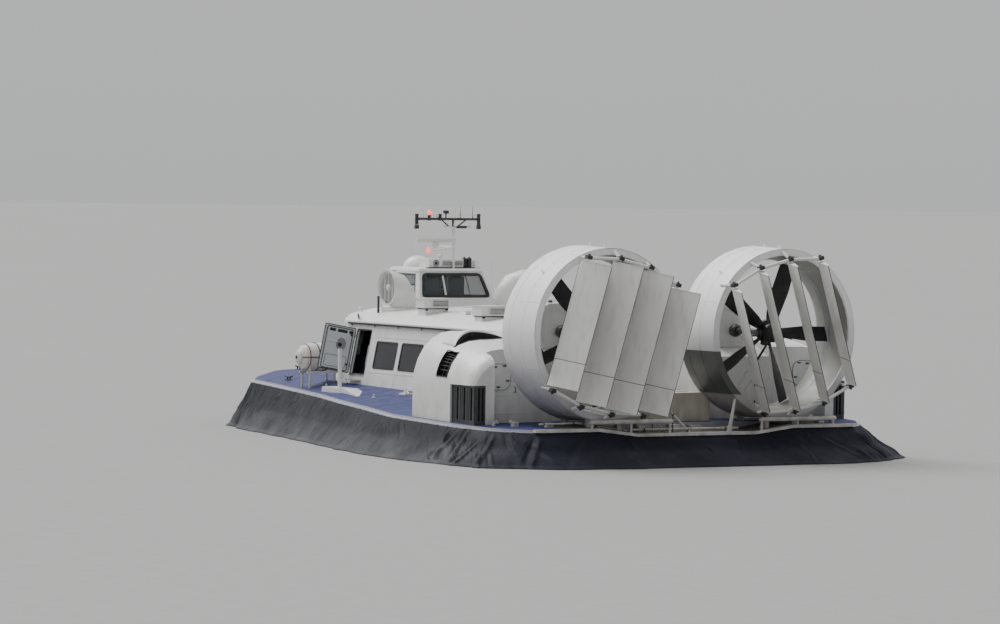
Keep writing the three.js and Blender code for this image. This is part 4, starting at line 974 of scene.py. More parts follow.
def air_conditioner_trim():
    grilles, slats, bases = shapes(3)
    for x, y, z in AIR_CONDITIONERS:
        grilles.block(at(x - 0.003, y - 0.10, z), (0.014, 0.46, 0.16))
        grilles.block(at(x + 0.23, y - 0.377, z), (0.34, 0.012, 0.15))
        for k in range(5):
            slats.block(at(x - 0.012, y - 0.10, z - 0.064 + 0.032 * k), (0.018, 0.46, 0.012))
        grille = facing_aft(x - 0.004, y - 0.35, y + 0.15, z - 0.10, z + 0.10)
        hatch = facing_aft(x - 0.002, y + 0.18, y + 0.35, z - 0.09, z + 0.09)
        slats.frame(rounded(grille, 0.02), 0.02, -0.018 * FORE)
        slats.frame(rounded(hatch, 0.02), 0.015, -0.008 * FORE)
        slats.block(at(x + 0.23, y, z + 0.127), (0.50, 0.79, 0.014))
        bases.block(at(x + 0.23, y, z - 0.135), (0.43, 0.70, 0.028))
        for a in (-0.3, 0.3):
            bases.block(at(x + 0.02, y + a, z - 0.16), (0.05, 0.06, 0.05))
    # the wheelhouse's own: grilles, a round fan, the dark line below and the bottles' heads
    for y0, y1 in ((0.20, -0.10), (-0.13, -0.41)):
        middle, width = (y0 + y1) / 2, y0 - y1
        grilles.block(at(12.197, middle, 4.565), (0.014, width, 0.13))
        for k in range(4):
            slats.block(at(12.188, middle, 4.52 + 0.03 * k), (0.016, width, 0.010))
        slats.frame(facing_aft(12.196, y0 + 0.01, y1 - 0.01, 4.49, 4.64), 0.014, -0.016 * FORE)
    fan = at(12.20, 0.40, 4.565)
    grilles.lathe([(0.095, 0.0), (0.09, 0.012), (0.03, 0.014), (0.02, 0.03)], fan, -FORE, 24)
    for radius in (0.06, 0.095):
        slats.tube(circle(fan - 0.015 * FORE, radius, TO_PORT, UP, 28), 0.007, closed=True)
    bases.block(at(12.19, -0.10, 4.447), (0.04, 1.60, 0.026))
    head = [(0.074, 0), (0.074, 0.03), (0.05, 0.055), (0.022, 0.06), (0.022, 0.085)]
    for y in (-0.515, -0.665):
        bases.lathe(head, at(12.29, y, 4.655), UP, 20)
        bases.tube(circle(at(12.29, y, 4.55), 0.076, FORE, TO_PORT, 20), 0.008, closed=True)
    grilles.done("air_conditioner_grilles", SLATS, bevel=0.002)
    slats.done("air_conditioner_slats", TRIM_WHITE, bevel=0.002)
    bases.done("air_conditioner_bases", BLACK, bevel=0.003)


def mast_trim():
    """Lamps, aerials and rails on the mast's yard, and a whip aerial beside the wheelhouse."""
    lamps, white, black = shapes(3)
    for x, y, z in ((YARD_X, 0.63, 5.90), (12.20, 0.64, 4.90)):
        lamps.ball(at(x, y, z), (0.058, 0.058, 0.085))
    lamps.done("signal_lamps", RED_LAMP)
    for y, high in ((0.40, 6.09), (-0.18, 6.10), (0.82, 6.06)):
        foot = at(YARD_X, y, 5.75)
        white.bar(foot, at(YARD_X, y, high), 0.009, 6)
        white.lathe([(0.02, 0), (0.02, 0.05), (0.009, 0.08)], foot, UP, 10)
    for y0, y1 in ((0.36, 0.92), (-0.84, -0.24)):
        white.handle(at(YARD_X, y0, 5.75), at(YARD_X, y1, 5.75), 0.11 * UP, 0.03, 0.011)
    whip = at(11.90, -1.16, 3.36)
    white.bar(whip, at(11.94, -1.16, 4.66), 0.009, 6)
    white.lathe([(0.035, 0), (0.03, 0.05), (0.012, 0.10)], whip, UP)
    for z in (4.62, 5.10, 5.40):
        white.block(at(12.175, -0.10, z), (0.10, 0.12, 0.03))
    white.ball(at(12.34, 0.20, 4.75), (0.075, 0.075, 0.06))
    white.lathe([(0.05, 0), (0.04, 0.05)], at(12.34, 0.20, 4.67), UP, 14)
    white.done("mast_fittings", TRIM_WHITE)
    black.block(at(YARD_X, 0.12, 5.93), (0.13, 0.10, 0.09))
    black.bar(at(YARD_X, 0.12, 5.77), at(YARD_X, 0.12, 5.89), 0.02)
    black.lathe([(0.035, 0), (0.04, 0.03)], at(12.12, 0.12, 5.93), -FORE)
    for y in (-0.89, 1.01):
        for z in (5.60, 5.72, 5.86):
            black.lathe([(0.056, -0.012), (0.056, 0.012)], at(YARD_X, y, z), UP)
        black.block(at(YARD_X, y, 5.53), (0.09, 0.10, 0.10))
    black.block(at(YARD_X, -0.34, 5.53), (0.14, 0.30, 0.06))
    black.done("mast_dark_fittings", BLACK, bevel=0.004)


wheelhouse_trim()
air_conditioner_trim()
mast_trim()

# Bow thrusters: vanes and rim in the mouth, turntable bolts, and the roof's posts and handrails beside
THRUSTER_BORE = 0.41
BENT_POST = ((12.40, 2.60, 3.02), (12.42, 2.60, 3.16), (12.36, 2.66, 3.22), (12.28, 2.69, 3.16))


def thruster_trim(side):
    sign = SIDES[side]
    x, y, z = TURNTABLE
    vanes, bolts, posts, rails = shapes(4)
    middle = z + 0.526
    for shift in (-0.20, 0, 0.20):
        half = math.sqrt(THRUSTER_BORE ** 2 - shift ** 2) - 0.004
        vanes.block(at(x + shift, sign * (y + 0.24), middle), (0.014, 0.16, 2 * half))
    bar = at(x, sign * (y + 0.25), middle)
    vanes.bar(bar - 0.408 * FORE, bar + 0.408 * FORE, 0.016)
    vanes.lathe([(0.09, 0), (0.09, 0.05), (0.04, 0.09)], at(x, sign * (y + 0.27), middle), sign * TO_PORT, 16)
    vanes.tube(circle(at(x, sign * (y + 0.365), middle), 0.482, FORE, UP, 40), 0.012, closed=True)
    vanes.done(f"thruster_vanes_{side}", TRIM_WHITE, f"bow_thruster_{side}", "rail_tube", bevel=0.002)
    for spot in circle(at(x, sign * y, z), 0.455, FORE, sign * TO_PORT, 20):
        bolts.lathe([(0.016, 0), (0.016, 0.016), (0.009, 0.02)], spot, UP, 6)
    bolts.done(f"thruster_bolts_{side}", STEEL)
    foot = at(x + 0.05, sign * 2.30, 3.22)
    posts.bar(foot, foot + 0.46 * UP, 0.03, 12)
    posts.lathe([(0.05, 0), (0.05, 0.015), (0.032, 0.03)], foot + 0.10 * UP, UP, 14)
    posts.ball(foot + 0.46 * UP, (0.04, 0.04, 0.03))
    posts.tube(mirrored([at(*p) for p in BENT_POST], sign), 0.022, 8)
    posts.done(f"roof_posts_{side}", BLACK)
    for x0, y0, x1, y1 in ((12.7, 2.35, 13.5, 2.05), (13.62, 1.98, 14.25, 1.55)):
        path = [at(x0, y0, 3.20), at(x0 + 0.05, y0, 3.36), at(x1 - 0.05, y1, 3.34), at(x1, y1, 3.15)]
        rails.tube(mirrored(path, sign), 0.014, 8)
    rails.done(f"roof_handrails_{side}", TRIM_WHITE)


for side in SIDES:
    thruster_trim(side)


# Lift fan housings: intake hood, lips, vent bars, rear hatch and panels, low vents, louvre frame
def skin_point(side, x, y, out=0.0):
    z, a = cowl_skin(x, y)
    return at(x, SIDES[side] * (y + out * math.cos(a)), z + out * math.sin(a))


def shoulder_y(x, z):
    """y of the curved shoulder at x and height z."""
    top, start = cowl_heights(x)
    return COWL_OUT - COWL_ARC * (1 - math.cos(math.asin((z - start) / (top - start))))


def intake_line(share):
    """y of the intake's middle line, from the shoulder (0) to its inboard end (1)."""
    a = math.radians(55 + 35 * min(1, 2 * share))
    return COWL_OUT - COWL_ARC * (1 - math.cos(a)) - 1.56 * max(0, share - 0.5)


def intake_half(share):
    return INTAKE_HALF * math.sin(math.pi * share)


def intake_trim(side, lips, bars):
    """The hood ahead of the intake slot, the slot's lips and the bars across it."""
    hood = Shape()
    fore, aft, mouth, rows = [], [], [], []
    for share in [k / 24 for k in range(25)]:
        y = intake_line(share)
        half = 0.01 + intake_half(share)
        rise = 0.17 * math.sin(math.pi * share) ** 0.8 + 0.003
        mouth_edges = (
            (-0.03, -0.03), (-0.045, 0.5 * rise), (-0.03, 0.80 * rise), (0.01, 0.80 * rise), (0.01, -0.03),
        )
        hood_edges = (
            (0, -0.03), (-0.035, 0.84 * rise), (-0.02, rise), (0.12, 0.95 * rise), (0.36, 0.5 * rise),
            (0.62, 0.002), (0.62, -0.03),
        )
        fore.append(skin_point(side, INTAKE_X + half, y, 0.004))
        aft.append(skin_point(side, INTAKE_X - half, y, 0.004))
        for section, edges in ((mouth, mouth_edges), (rows, hood_edges)):
            section.append([skin_point(side, INTAKE_X + half + dx, y, out) for dx, out in edges])
    lips.tube(aft, 0.020)
    lips.grid(mouth)
    lips.tube(fore, 0.012)
    hood.grid(rows)
    shares = [0.2 + 0.12 * k for k in range(6)]
    for k in range(1, 6):
        places = [(INTAKE_X + 0.9 * (k / 3 - 1) * intake_half(share), intake_line(share)) for share in shares]
        bars.tube([skin_point(side, x, y, -0.05) for x, y in places], 0.006)
    hood.done(f"intake_hood_{side}", WHITE, smooth=70)


def vent_trim(side, lips, bars):
    """The lip round the vent in the shoulder, and its crossed bars."""
    x0, x1, z0, z1 = VENT
    edge = [shoulder_y(3.0, z) for z in np.linspace(z0 + 0.002, z1 - 0.002, 8)]
    rim = [(x0, y) for y in edge] + [(x1, y) for y in reversed(edge)]
    lips.tube([skin_point(side, x, y, 0.002) for x, y in rim], 0.014, closed=True)
    for k in range(1, 7):
        y = edge[0] + (edge[-1] - edge[0]) * k / 7
        bars.tube([skin_point(side, x, y, -0.055) for x in (x0 + 0.006, (x0 + x1) / 2, x1 - 0.006)], 0.012)
    for x in (x0 + 0.17, x0 + 0.35):
        bars.tube([skin_point(side, x, y, -0.075) for y in edge], 0.012)


def rear_wall_trim(side):
    """Hatch, panel frames, fasteners and handle of the rear wall, and two vents on the deck behind it."""
    sign = SIDES[side]
    panels, fasteners = shapes(2)

    def on_rear(y, z, back=0.0):
        return at(HOUSING_REAR - back, sign * y, z)

    hatch = rounded(oblong(on_rear, 4.12, 4.78, 1.73, 2.36), 0.24, 8)
    panels.plate(hatch, -0.014 * FORE)
    panels.frame(rounded(oblong(on_rear, 3.50, 4.74, 1.15, 1.62), 0.05), 0.03, -0.008 * FORE)
    panels.frame(rounded(oblong(on_rear, 1.50, 3.10, 1.25, 2.28), 0.06), 0.03, -0.008 * FORE)
    for y in (4.60, 4.17):
        vent = [(0.07, 0), (0.07, 0.02), (0.055, 0.06), (0.02, 0.085)]
        panels.lathe(vent, at(1.80, sign * y, 0.93), UP, 16)
    panels.done(f"rear_hatch_{side}", TRIM_WHITE, bevel=0.004)
    for y, z in ((4.55, 2.29), (4.30, 2.31), (4.46, 1.80), (4.20, 1.95), (4.70, 2.0)):
        fasteners.block(on_rear(y, z, 0.02), (0.02, 0.09, 0.035))
        fasteners.lathe([(0.018, 0), (0.012, 0.02)], on_rear(y, z, 0.028), -FORE, 8)
    fasteners.tube([p - 0.012 * FORE for p in hatch], 0.007, closed=True)
    fasteners.handle(on_rear(4.0, 1.66), on_rear(4.0, 1.80), -0.06 * FORE, 0.02, 0.012)
    for y, z in ((3.02, 2.41), (3.16, 2.60)):
        corners = ((0, 0), (0.05, -0.04), (0.23, 0.20), (0.18, 0.24))
        fasteners.plate([on_rear(y + a, z + b) for a, b in corners], -0.006 * FORE)
    for y in (1.62, 2.98):
        for z in (1.35, 1.75, 2.15):
            fasteners.block(on_rear(y, z, 0.01), (0.02, 0.03, 0.06))
    fasteners.done(f"hatch_fasteners_{side}", BLACK, slot="dark_grille", bevel=0.002)


def housing_trim(side):
    lips, bars, ribs = shapes(3)
    intake_trim(side, lips, bars)
    vent_trim(side, lips, bars)
    lips.done(f"housing_lips_{side}", SEAL)
    bars.done(f"vent_bars_{side}", SLATS)
    rear_wall_trim(side)
    for z in (1.00, 1.83):
        ribs.block(at(2.01, SIDES[side] * 5.391, z), (1.04, 0.012, 0.035))
    for x in (1.50, 1.745, 1.83, 2.075, 2.16, 2.42, 2.53):
        ribs.block(at(x, SIDES[side] * 5.392, 1.415), (0.028, 0.018, 0.80))
    ribs.done(f"louvre_ribs_{side}", SLATS, bevel=0.003)


# Pylons: side and rear panels with their fastenings, and vents
def pylon_trim(side):
    sign = SIDES[side]
    panels, vents = shapes(2)
    for out in (-sign, sign):
        y = sign * DUCT_Y + out * 0.4805
        corners = ((2.58, 3.02), (3.52, 3.10), (3.52, 3.42), (2.58, 3.42))
        panels.frame(rounded([at(x, y, z) for x, z in corners], 0.05), 0.02, 0.006 * out * TO_PORT)
        for x in (2.62, 2.9, 3.2, 3.48):
            panels.lathe([(0.014, 0), (0.009, 0.012)], at(x, y, 3.38), out * TO_PORT, 8)
        for k in range(6):
            vents.block(at(2.80 + 0.10 * k, y + 0.004 * out, 3.24), (0.05, 0.012, 0.20))
    corners = ((-0.40, 2.85), (0.40, 2.85), (0.40, 3.44), (0.17, 3.68), (-0.17, 3.68), (-0.40, 3.44))
    outline = [at(2.448, sign * (DUCT_Y + a), z) for a, z in corners]
    panels.frame(rounded(outline, 0.04), 0.02, -0.008 * FORE)
    for spot in circle(at(2.37, sign * DUCT_Y, SHAFT_Z), 0.19, TO_PORT, UP, 12):
        panels.lathe([(0.013, 0), (0.009, 0.014)], spot, -FORE, 6)
    panels.done(f"pylon_panels_{side}", TRIM_WHITE, bevel=0.001)
    for x in (2.75, 3.35):
        cap = [(0.06, 0), (0.06, 0.03), (0.045, 0.06), (0.012, 0.075)]
        vents.lathe(cap, at(x, sign * DUCT_Y, 3.805), UP, 16)
    vents.done(f"pylon_vents_{side}", SLATS, bevel=0.002)


# Ducts: bands, rear lip, seams, rivets, lifting eyes, wear ring and rudder bearings
RING_STEPS = 96
DUCT_BANDS = [(0.0, 0.07, 0.010), (1.13, 1.17, 0.007), (0.60, 0.62, 0.005)]      # x from, x to, height
REAR_LIP = [
    (DUCT_EXIT - 0.012, 0.004), (DUCT_EXIT - 0.012, 0.06),
    (DUCT_EXIT + 0.004, 0.06), (DUCT_EXIT + 0.02, 0.004),
]
WEAR_RING = [
    (DUCT_THROAT + 0.006, 0.66), (DUCT_THROAT - 0.006, 0.664),
    (DUCT_THROAT - 0.006, 0.876), (DUCT_THROAT + 0.006, 0.88),
]


def duct_radius(x):
    return DUCT_OUTER + 0.033 * min(x, 1.15) / 1.15


def radial(turn):
    return math.cos(turn) * TO_PORT + math.sin(turn) * UP


def spoke(side, x, radius, turn):
    return at(x, SIDES[side] * DUCT_Y, SHAFT_Z) + radius * radial(turn)


def hoop(shape, side, profile):
    """A closed ring round the shaft, from (radius, x) pairs."""
    rows = [[spoke(side, x, radius, turn) for radius, x in profile] for turn in turns(RING_STEPS)]
    shape.grid(rows + [rows[0]], caps=False)


def duct_trim(side):
    bands, ring, bearings = shapes(3)
    for x0, x1, height in DUCT_BANDS:
        edges = ((x0, -0.01), (x0, height), (x1, height), (x1, -0.01))
        hoop(bands, side, [(duct_radius(x) + h, x) for x, h in edges])
    hoop(bands, side, REAR_LIP)
    for turn in [math.radians(22.5 + 45 * k) for k in range(8)]:
        section = ((-0.01, -0.02), (0.005, -0.018), (0.005, 0.018), (-0.01, 0.02))
        across = FORE.cross(radial(turn))
        bands.grid([[spoke(side, x, duct_radius(x) + h, turn) + w * across for h, w in section]
                    for x in (0.08, 0.60, 1.12)])
    for turn in [a + math.pi / RING_STEPS for a in turns(RING_STEPS)]:
        for x in (0.035, 1.15):
            rivet = spoke(side, x, duct_radius(x) + 0.006, turn)
            bands.lathe([(0.011, 0), (0.007, 0.007)], rivet, radial(turn), 6)
    for degrees, x in ((90, 0.30), (90, 0.95), (45, 0.62), (135, 0.62)):
        turn = math.radians(degrees)
        away, foot = radial(turn), spoke(side, x, duct_radius(x), turn)
        bands.lathe([(0.05, -0.01), (0.05, 0.012), (0.03, 0.02)], foot, away, 14)
        bands.tube(circle(foot + 0.045 * away, 0.032, away, FORE, 16), 0.009, closed=True)
    bands.done(f"duct_bands_{side}", DUCT_SKIN[side], slot="duct_paint")
    hoop(ring, side, WEAR_RING)
    ring.done(f"duct_wear_ring_{side}", GRILLE)
    tilt = Matrix.Rotation(SIDES[side] * RUDDER_LEAN, 3, "X")
    lean = tilt @ UP
    for offset, low, high in RUDDERS:
        for along, way in ((low, -lean), (high, lean)):
            end = at(RUDDER_X, SIDES[side] * (DUCT_Y + offset), SHAFT_Z) + along * lean
            bearings.block(end + 0.015 * way, (0.17, 0.13, 0.09), tilt)
            bearings.lathe([(0.04, 0), (0.04, 0.03), (0.018, 0.035), (0.018, 0.055)], end + 0.055 * way, way)
    bearings.done(f"rudder_bearings_{side}", BLACK, bevel=0.012)


# Propellers: root cuffs with their bolts, and hub bolts
BLADE_CUFF = [(0.115, 0.17), (0.115, 0.25), (0.10, 0.27), (0.10, 0.30), (0.08, 0.32)]


def propeller_trim(side):
    centre = at(PROPELLER_X, SIDES[side] * DUCT_Y, SHAFT_Z)
    cuffs, bolts = shapes(2)
    for turn in turns(BLADES):
        away = radial(BLADE_PHASE[side] + turn)
        cuffs.lathe(BLADE_CUFF, centre, away, 18)
        for spot in circle(centre + 0.25 * away, 0.10, away.cross(FORE), FORE, 8):
            bolts.lathe([(0.011, 0), (0.011, 0.012)], spot, away, 6)
    for spot in circle(centre - 0.235 * FORE, 0.17, TO_PORT, UP, 12):
        bolts.lathe([(0.014, 0), (0.014, 0.014), (0.008, 0.018)], spot, -FORE, 6)
    cuffs.done(f"blade_cuffs_{side}", BLACK, f"propeller_{side}", "blade", bevel=0.002)
    bolts.done(f"hub_bolts_{side}", STEEL, f"propeller_{side}")


# Rudders: joint line, end ribs, rivet rows and horn, in each rudder's own frame
RUDDER_CHEEK = [
    (RUDDER_FRONT - 0.025, 0.6 * RUDDER_HALF), (RUDDER_FRONT - 0.1, RUDDER_HALF),
    (0, RUDDER_HALF), (RUDDER_BACK, RUDDER_EDGE),
]
RUDDER_OUTLINE = [(RUDDER_FRONT, 0)] + RUDDER_CHEEK + [(x, -y) for x, y in reversed(RUDDER_CHEEK)]
RUDDER_SPLIT = 0.21                      # share of its height where the panels meet
HORN = ((0.05, -0.05), (0.05, 0.05), (-0.04, 0.20), (-0.10, 0.20), (-0.06, -0.05))


def rudder_trim(side, number):
    sign = SIDES[side]
    offset, low, high = RUDDERS[number - 1]
    hinge = at(RUDDER_X, sign * (DUCT_Y + offset), SHAFT_Z)
    place = hinged(hinge, sign * RUDDER_LEAN, RUDDER_REST[side])
    turn = place.to_3x3()
    bottom, top = low + 0.09, high - 0.09
    split = bottom + RUDDER_SPLIT * (top - bottom)
    seams, ribs = shapes(2)

    def spot(x, y, z):
        return place @ Vector((x, y, z))

    def belt(z, rise, grow):
        """Two sections of the rudder, at z and above it by rise, that stand out by grow."""
        outline = [(x + grow * ((x > 0) - (x < -0.1)), y + grow * ((y > 0) - (y < 0)))
                   for x, y in RUDDER_OUTLINE]
        return [[spot(x, y, h) for x, y in outline] for h in (z, z + rise)]

    seams.grid(belt(split, 0.014, 0.0018))
    seams.grid(belt(top - 0.004, 0.006, 0.0018))
    for x, radius in ((RUDDER_FRONT + 0.003, 0.008), (RUDDER_BACK - 0.002, 0.009)):
        seams.tube([spot(x, 0, z) for z in (bottom + 0.01, split, top - 0.01)], radius)
    seams.done(f"rudder_joint_{side}_{number}", SEAL, f"rudder_{side}_{number}")
    for z in (bottom - 0.004, top - 0.010):
        ribs.grid(belt(z, 0.014, 0.008))
    for z in (bottom + 0.05, split - 0.035, split + 0.05, top - 0.05):
        for k in range(9):
            x = RUDDER_FRONT - 0.13 + (RUDDER_BACK - RUDDER_FRONT + 0.19) * k / 8
            y = RUDDER_HALF + (RUDDER_EDGE - RUDDER_HALF) * max(0, x / RUDDER_BACK)
            for way in (-1, 1):
                base = spot(x, way * (y - 0.001), z)
                ribs.lathe([(0.008, 0), (0.005, 0.005)], base, turn @ (way * TO_PORT), 6)
    horn = bottom - 0.012
    ribs.plate([spot(x, y, horn) for x, y in HORN], turn @ (-0.012 * UP))
    ribs.lathe([(0.02, 0), (0.02, 0.03)], spot(-0.07, 0.18, horn - 0.012), turn @ UP, 10)
    ribs.done(f"rudder_ribs_{side}_{number}", TRIM_WHITE, f"rudder_{side}_{number}", "rudder_skin")


for side in SIDES:
    housing_trim(side)
    pylon_trim(side)
    duct_trim(side)
    propeller_trim(side)
    for number in range(1, len(RUDDERS) + 1):
        rudder_trim(side, number)

# Deck edge: the strip that clamps the skirt, with its bolts
CLAMP_STEP, CLAMP_BOLT_STEP = 12, 24     # columns of the skirt's plan
CLAMP_SECTION = (
    (0.0, -0.050), (0.060, -0.050), (0.096, -0.055), (0.100, -0.082), (0.090, -0.088), (0.0, -0.080),
)


def clamp_strip():
    _, top_x, top_y, edge, out_x, out_y, _, _ = skirt_plan()
    strip, bolts = shapes(2)
    for sign in SIDES.values():
        rows = []
        for i in range(0, len(top_x), CLAMP_STEP):
            base = at(top_x[i], sign * top_y[i], edge[i])
            away = Vector((out_x[i], sign * out_y[i], 0))
            rows.append([base + d * away + h * UP for d, h in CLAMP_SECTION])
            if i % CLAMP_BOLT_STEP == 0:
                spot = base + 0.098 * away - 0.068 * UP
                bolts.lathe([(0.017, 0), (0.017, 0.010), (0.009, 0.014)], spot, away, 6)
        strip.grid(rows)
    strip.done("skirt_clamp_strip", GUNWALE, slot="rail_tube", smooth=30)
    bolts.done("skirt_clamp_bolts", STEEL)


# Deck: x, half width, and how far its middle rises above its edge
DECK_CROWN = [
    (0.05, 4.60, 0.02), (0.9, 5.33, 0.02), (2.25, 5.52, 0.02), (2.95, 5.52, 0.20), (5.2, 5.52, 0.28),
    (7.5, 4.99, 0.27), (9.6, 4.58, 0.26), (11.55, 4.10, 0.24), (13.1, 3.83, 0.22), (15.2, 3.50, 0.20),
    (17.13, 3.25, 0.18), (18.28, 2.54, 0.14), (19.61, 1.21, 0.08), (20.25, 0.31, 0.03),
]


def deck_top(x, y):
    """Height of the deck, with its crown and the well at the stern."""
    if x < 1.1 and abs(y) < WELL_RIM:
        return DECK_AFT + 0.03 - min(1, (WELL_RIM - abs(y)) / (WELL_RIM - WELL_FLOOR)) * (WELL_DEPTH + 0.03)
    places, halves, rises = zip(*DECK_CROWN)
    half, rise = np.interp(x, places, halves), np.interp(x, places, rises)
    inner = min(WALL_FOOT[0], 0.8 * half)
    across = [0, inner, 0.98 * half, half]
    return deck_edge(x) + float(np.interp(abs(y), across, [rise + 0.01, rise, 0.012, 0]))


def add_bracket(pale, black, foot):
    pale.block(foot + 0.02 * UP, (0.34, 0.24, 0.05))
    pale.bar(foot + 0.03 * UP, foot + 0.16 * UP, 0.03, 10)
    for a in (-0.15, 0.15):
        pale.bar(foot + Vector((a, 0, 0.04)), foot + 0.13 * UP, 0.018)


def add_cleat(pale, black, foot):
    for a in (-0.07, 0.07):
        black.bar(foot + Vector((a, 0, -0.01)), foot + Vector((a, 0, 0.08)), 0.022, 10)
    ends = [foot + Vector((a, 0, 0.10)) for a in (-0.19, 0.19)]
    black.handle(*ends, -0.015 * UP, 0.09, 0.024, 10)
    black.block(foot + 0.002 * UP, (0.26, 0.11, 0.02))


def add_hatch(pale, black, foot):
    pale.lathe([(0.29, -0.01), (0.29, 0.02), (0.25, 0.035), (0.24, 0.03), (0.02, 0.045)], foot, UP, 32)
    ends = [foot + Vector((a, 0, 0.04)) for a in (-0.08, 0.08)]
    black.handle(*ends, 0.035 * UP, 0.02, 0.009)


def add_eye(pale, black, foot):
    pale.lathe([(0.05, -0.01), (0.05, 0.01), (0.02, 0.02)], foot, UP, 14)
    pale.tube(circle(foot + 0.05 * UP, 0.04, FORE, UP, 16), 0.010, closed=True)


# Deck fittings: x and y of each, on both sides where y isn't 0
DECK_FITTINGS = [
    (add_bracket, [(8.45, 3.36)]),
    (add_cleat, [(15.4, 3.10), (19.0, 0.9)]),
    (add_hatch, [(16.3, 1.3), (17.9, 0.0), (3.2, 0.0)]),
    (add_eye, [(9.0, 4.0), (12.6, 3.45), (1.3, 4.95)]),
]


def deck_trim():
    pale, black = shapes(2)
    for add, places in DECK_FITTINGS:
        for x, out in places:
            for y in sorted({out, -out}):
                add(pale, black, at(x, y, deck_top(x, y)))
    pale.done("deck_fittings", TRIM_WHITE, bevel=0.004)
    black.done("deck_cleats", BLACK, slot="dark_grille")


# Stern boxes: x, y, length, width and height
STERN_BOXES = [
    (0.75, 0.2, 0.30, 0.22, 0.16), (0.95, -0.55, 0.22, 0.30, 0.12), (0.62, 1.25, 0.20, 0.18, 0.14),
    (1.05, 1.05, 0.25, 0.16, 0.20), (0.55, -1.25, 0.24, 0.16, 0.10), (0.50, 3.9, 0.16, 0.20, 0.10),
    (0.42, -3.9, 0.20, 0.16, 0.12), (0.9, 4.6, 0.14, 0.14, 0.10),
]
# Stern pipes: both ends and radius
STERN_PIPES = [
    ((0.22, 0.61, 1.23), (0.12, 0.12, 0.74), 0.028), ((0.35, 4.25, 0.98), (0.30, 3.2, 1.00), 0.022),
    ((0.30, 3.2, 1.00), (0.28, 2.1, 0.84), 0.022), ((0.45, 1.6, 0.80), (0.45, -1.5, 0.80), 0.03),
    ((0.30, -3.1, 0.97), (0.34, -4.3, 0.97), 0.024), ((1.15, 0.9, 0.86), (1.2, -0.9, 0.86), 0.02),
    ((0.16, 1.9, 0.80), (0.16, 2.9, 0.95), 0.018), ((0.50, 0.6, 0.77), (0.9, 0.75, 1.05), 0.016),
    ((0.24, -2.0, 0.82), (0.50, -2.3, 1.02), 0.016),
]


def stern_trim():
    """Boxes and clamped pipes across the stern, and the lids of the middle housing."""
    boxes, pipes, clamps, lids = shapes(4)
    for x, y, length, width, height in STERN_BOXES:
        z = deck_top(x, y)
        boxes.block(at(x, y, z + height / 2 - 0.005), (length, width, height))
        boxes.block(at(x, y, z + height), (length + 0.02, width + 0.02, 0.014))
        clamps.lathe([(0.012, 0), (0.008, 0.01)], at(x - length / 2 - 0.002, y, z + height / 2), -FORE, 8)
    for start, end, radius in STERN_PIPES:
        a, b = at(*start), at(*end)
        pipes.bar(a, b, radius, 10)
        for share in (0.12, 0.88):
            spot = a.lerp(b, share)
            foot = Vector((spot.x, spot.y, deck_top(spot.x - TRANSOM, spot.y) - 0.01))
            clamps.lathe([(1.5 * radius, -0.012), (1.5 * radius, 0.012)], spot, b - a)
            clamps.bar(spot, foot, 0.012, 6)
    boxes.done("stern_boxes", STERN_WHITE, slot="cream_paint", bevel=0.006)
    pipes.done("stern_pipes", STERN_WHITE, slot="rail_tube")
    clamps.done("stern_clamps", BLACK, slot="dark_grille")
    for x in (1.9, 2.8, 3.7):
        lids.plate(rounded(level(x, 0, 1.639, 0.36, 0.75), 0.06), 0.018 * UP)
        for y in (-0.45, 0.45):
            ends = [at(x - 0.30, y + a, 1.655) for a in (-0.06, 0.06)]
            lids.handle(*ends, 0.035 * UP, 0, 0.008)
    lids.plate(rounded(facing_aft(1.249, -0.9, 0.9, 1.0, 1.42), 0.05), -0.014 * FORE)
    lids.done("middle_lids", CREAM, slot="cream_paint", bevel=0.004)


def roof_trim():
    """Hatches and mushroom vents on the cabin roof."""
    parts = Shape()
    for x, z in ((5.3, 3.35), (8.1, 3.41), (10.6, 3.43)):
        parts.plate(rounded(level(x, 0, z, 0.32, 0.32), 0.06), 0.04 * UP)
        ends = [at(x - 0.24, y, z + 0.04) for y in (-0.08, 0.08)]
        parts.handle(*ends, 0.03 * UP, 0.02, 0.009)
    vent = [(0.07, -0.02), (0.07, 0.05), (0.12, 0.06), (0.11, 0.10), (0.03, 0.125)]
    for x, out, z in ((5.0, 1.6, 3.30), (8.2, 1.7, 3.34), (11.0, 1.3, 3.37)):
        for y in (-out, out):
            parts.lathe(vent, at(x, y, z), UP, 20)
    parts.done("roof_hatches", TRIM_WHITE, bevel=0.003)


clamp_strip()
deck_trim()
stern_trim()
roof_trim()

# Camera: the photograph's place, direction, roll and focal length
CAMERA_PLACE = (-88.493, 57.649, 6.757)
HEADING, PITCH, ROLL = math.radians(30.472), math.radians(1.715), math.radians(0.777)
FOCAL_PIXELS, PICTURE_WIDTH, SENSOR = 4350, 1000, 36.0


def put_in_scene(name, data):
    obj = bpy.data.objects.new(name, data)
    bpy.context.scene.collection.objects.link(obj)
    return obj


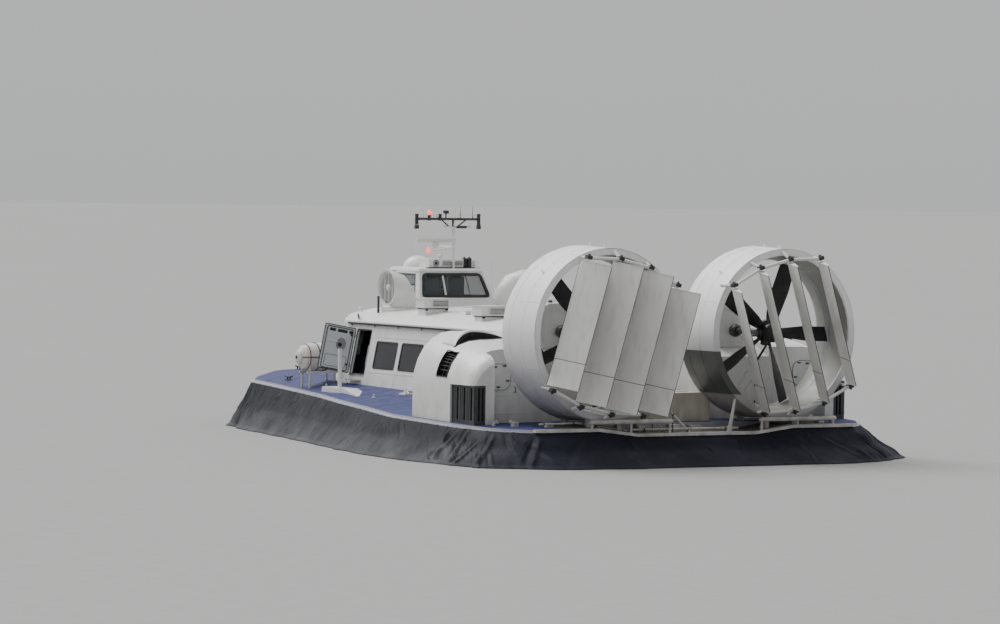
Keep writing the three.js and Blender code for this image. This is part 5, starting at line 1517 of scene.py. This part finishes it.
def make_camera():
    data = bpy.data.cameras.new("camera")
    data.sensor_width = SENSOR
    data.lens = FOCAL_PIXELS / PICTURE_WIDTH * SENSOR
    data.clip_end = 2000
    camera = put_in_scene("camera", data)
    run = math.cos(PITCH)
    forward = Vector((math.cos(HEADING) * run, -math.sin(HEADING) * run, -math.sin(PITCH)))
    across = forward.cross(UP).normalized()
    right = math.cos(ROLL) * across + math.sin(ROLL) * across.cross(forward)
    turn = Matrix((right, right.cross(forward), -forward)).transposed()
    camera.matrix_world = Matrix.Translation(at(*CAMERA_PLACE)) @ turn.to_4x4()
    bpy.context.scene.camera = camera


def make_light():
    """A soft sun and a sky that is lighter ahead, so that what faces astern is in soft shade."""
    world = bpy.data.worlds.new("studio")
    bpy.context.scene.world = world
    world.use_nodes = True
    tree = world.node_tree
    way = {"Vector": tree.nodes.new("ShaderNodeTexCoord").outputs["Generated"]}
    height = map_range(tree, add_node(tree, "ShaderNodeSeparateXYZ", "Z", way), 0.0, 0.9)
    ahead = map_range(tree, add_node(tree, "ShaderNodeSeparateXYZ", "X", way), -0.7, 0.45, 0.60)
    sky = blend(tree, height, (0.50, 0.505, 0.515, 1), (1.0, 1.0, 1.0, 1))
    shaded = add_node(tree, "ShaderNodeVectorMath", "Vector", {0: sky, "Scale": ahead}, "SCALE")
    background = tree.nodes["Background"].inputs
    feed(tree, shaded, background["Color"])
    background["Strength"].default_value = 1.1
    sun = bpy.data.lights.new("sun", "SUN")
    sun.energy = 3.0
    sun.angle = math.radians(40)
    light = put_in_scene("sun", sun)
    light.rotation_euler = Vector((0.55, 0.22, 0.80)).to_track_quat("Z", "Y").to_euler()


def make_floor():
    mesh = bpy.data.meshes.new("floor")
    reach = 900.0
    corners = [(-reach, -reach, 0), (reach, -reach, 0), (reach, reach, 0), (-reach, reach, 0)]
    mesh.from_pydata(corners, [], [(0, 1, 2, 3)])
    look = Look("floor_look", (0.33, 0.33, 0.325), 0.8)
    look.mottle((0.36, 0.36, 0.355), 0.3, 0.3, 0.7, 0.05, detail=3)
    mesh.materials.append(look.done())
    put_in_scene("floor", mesh)


make_camera()
make_light()
make_floor()
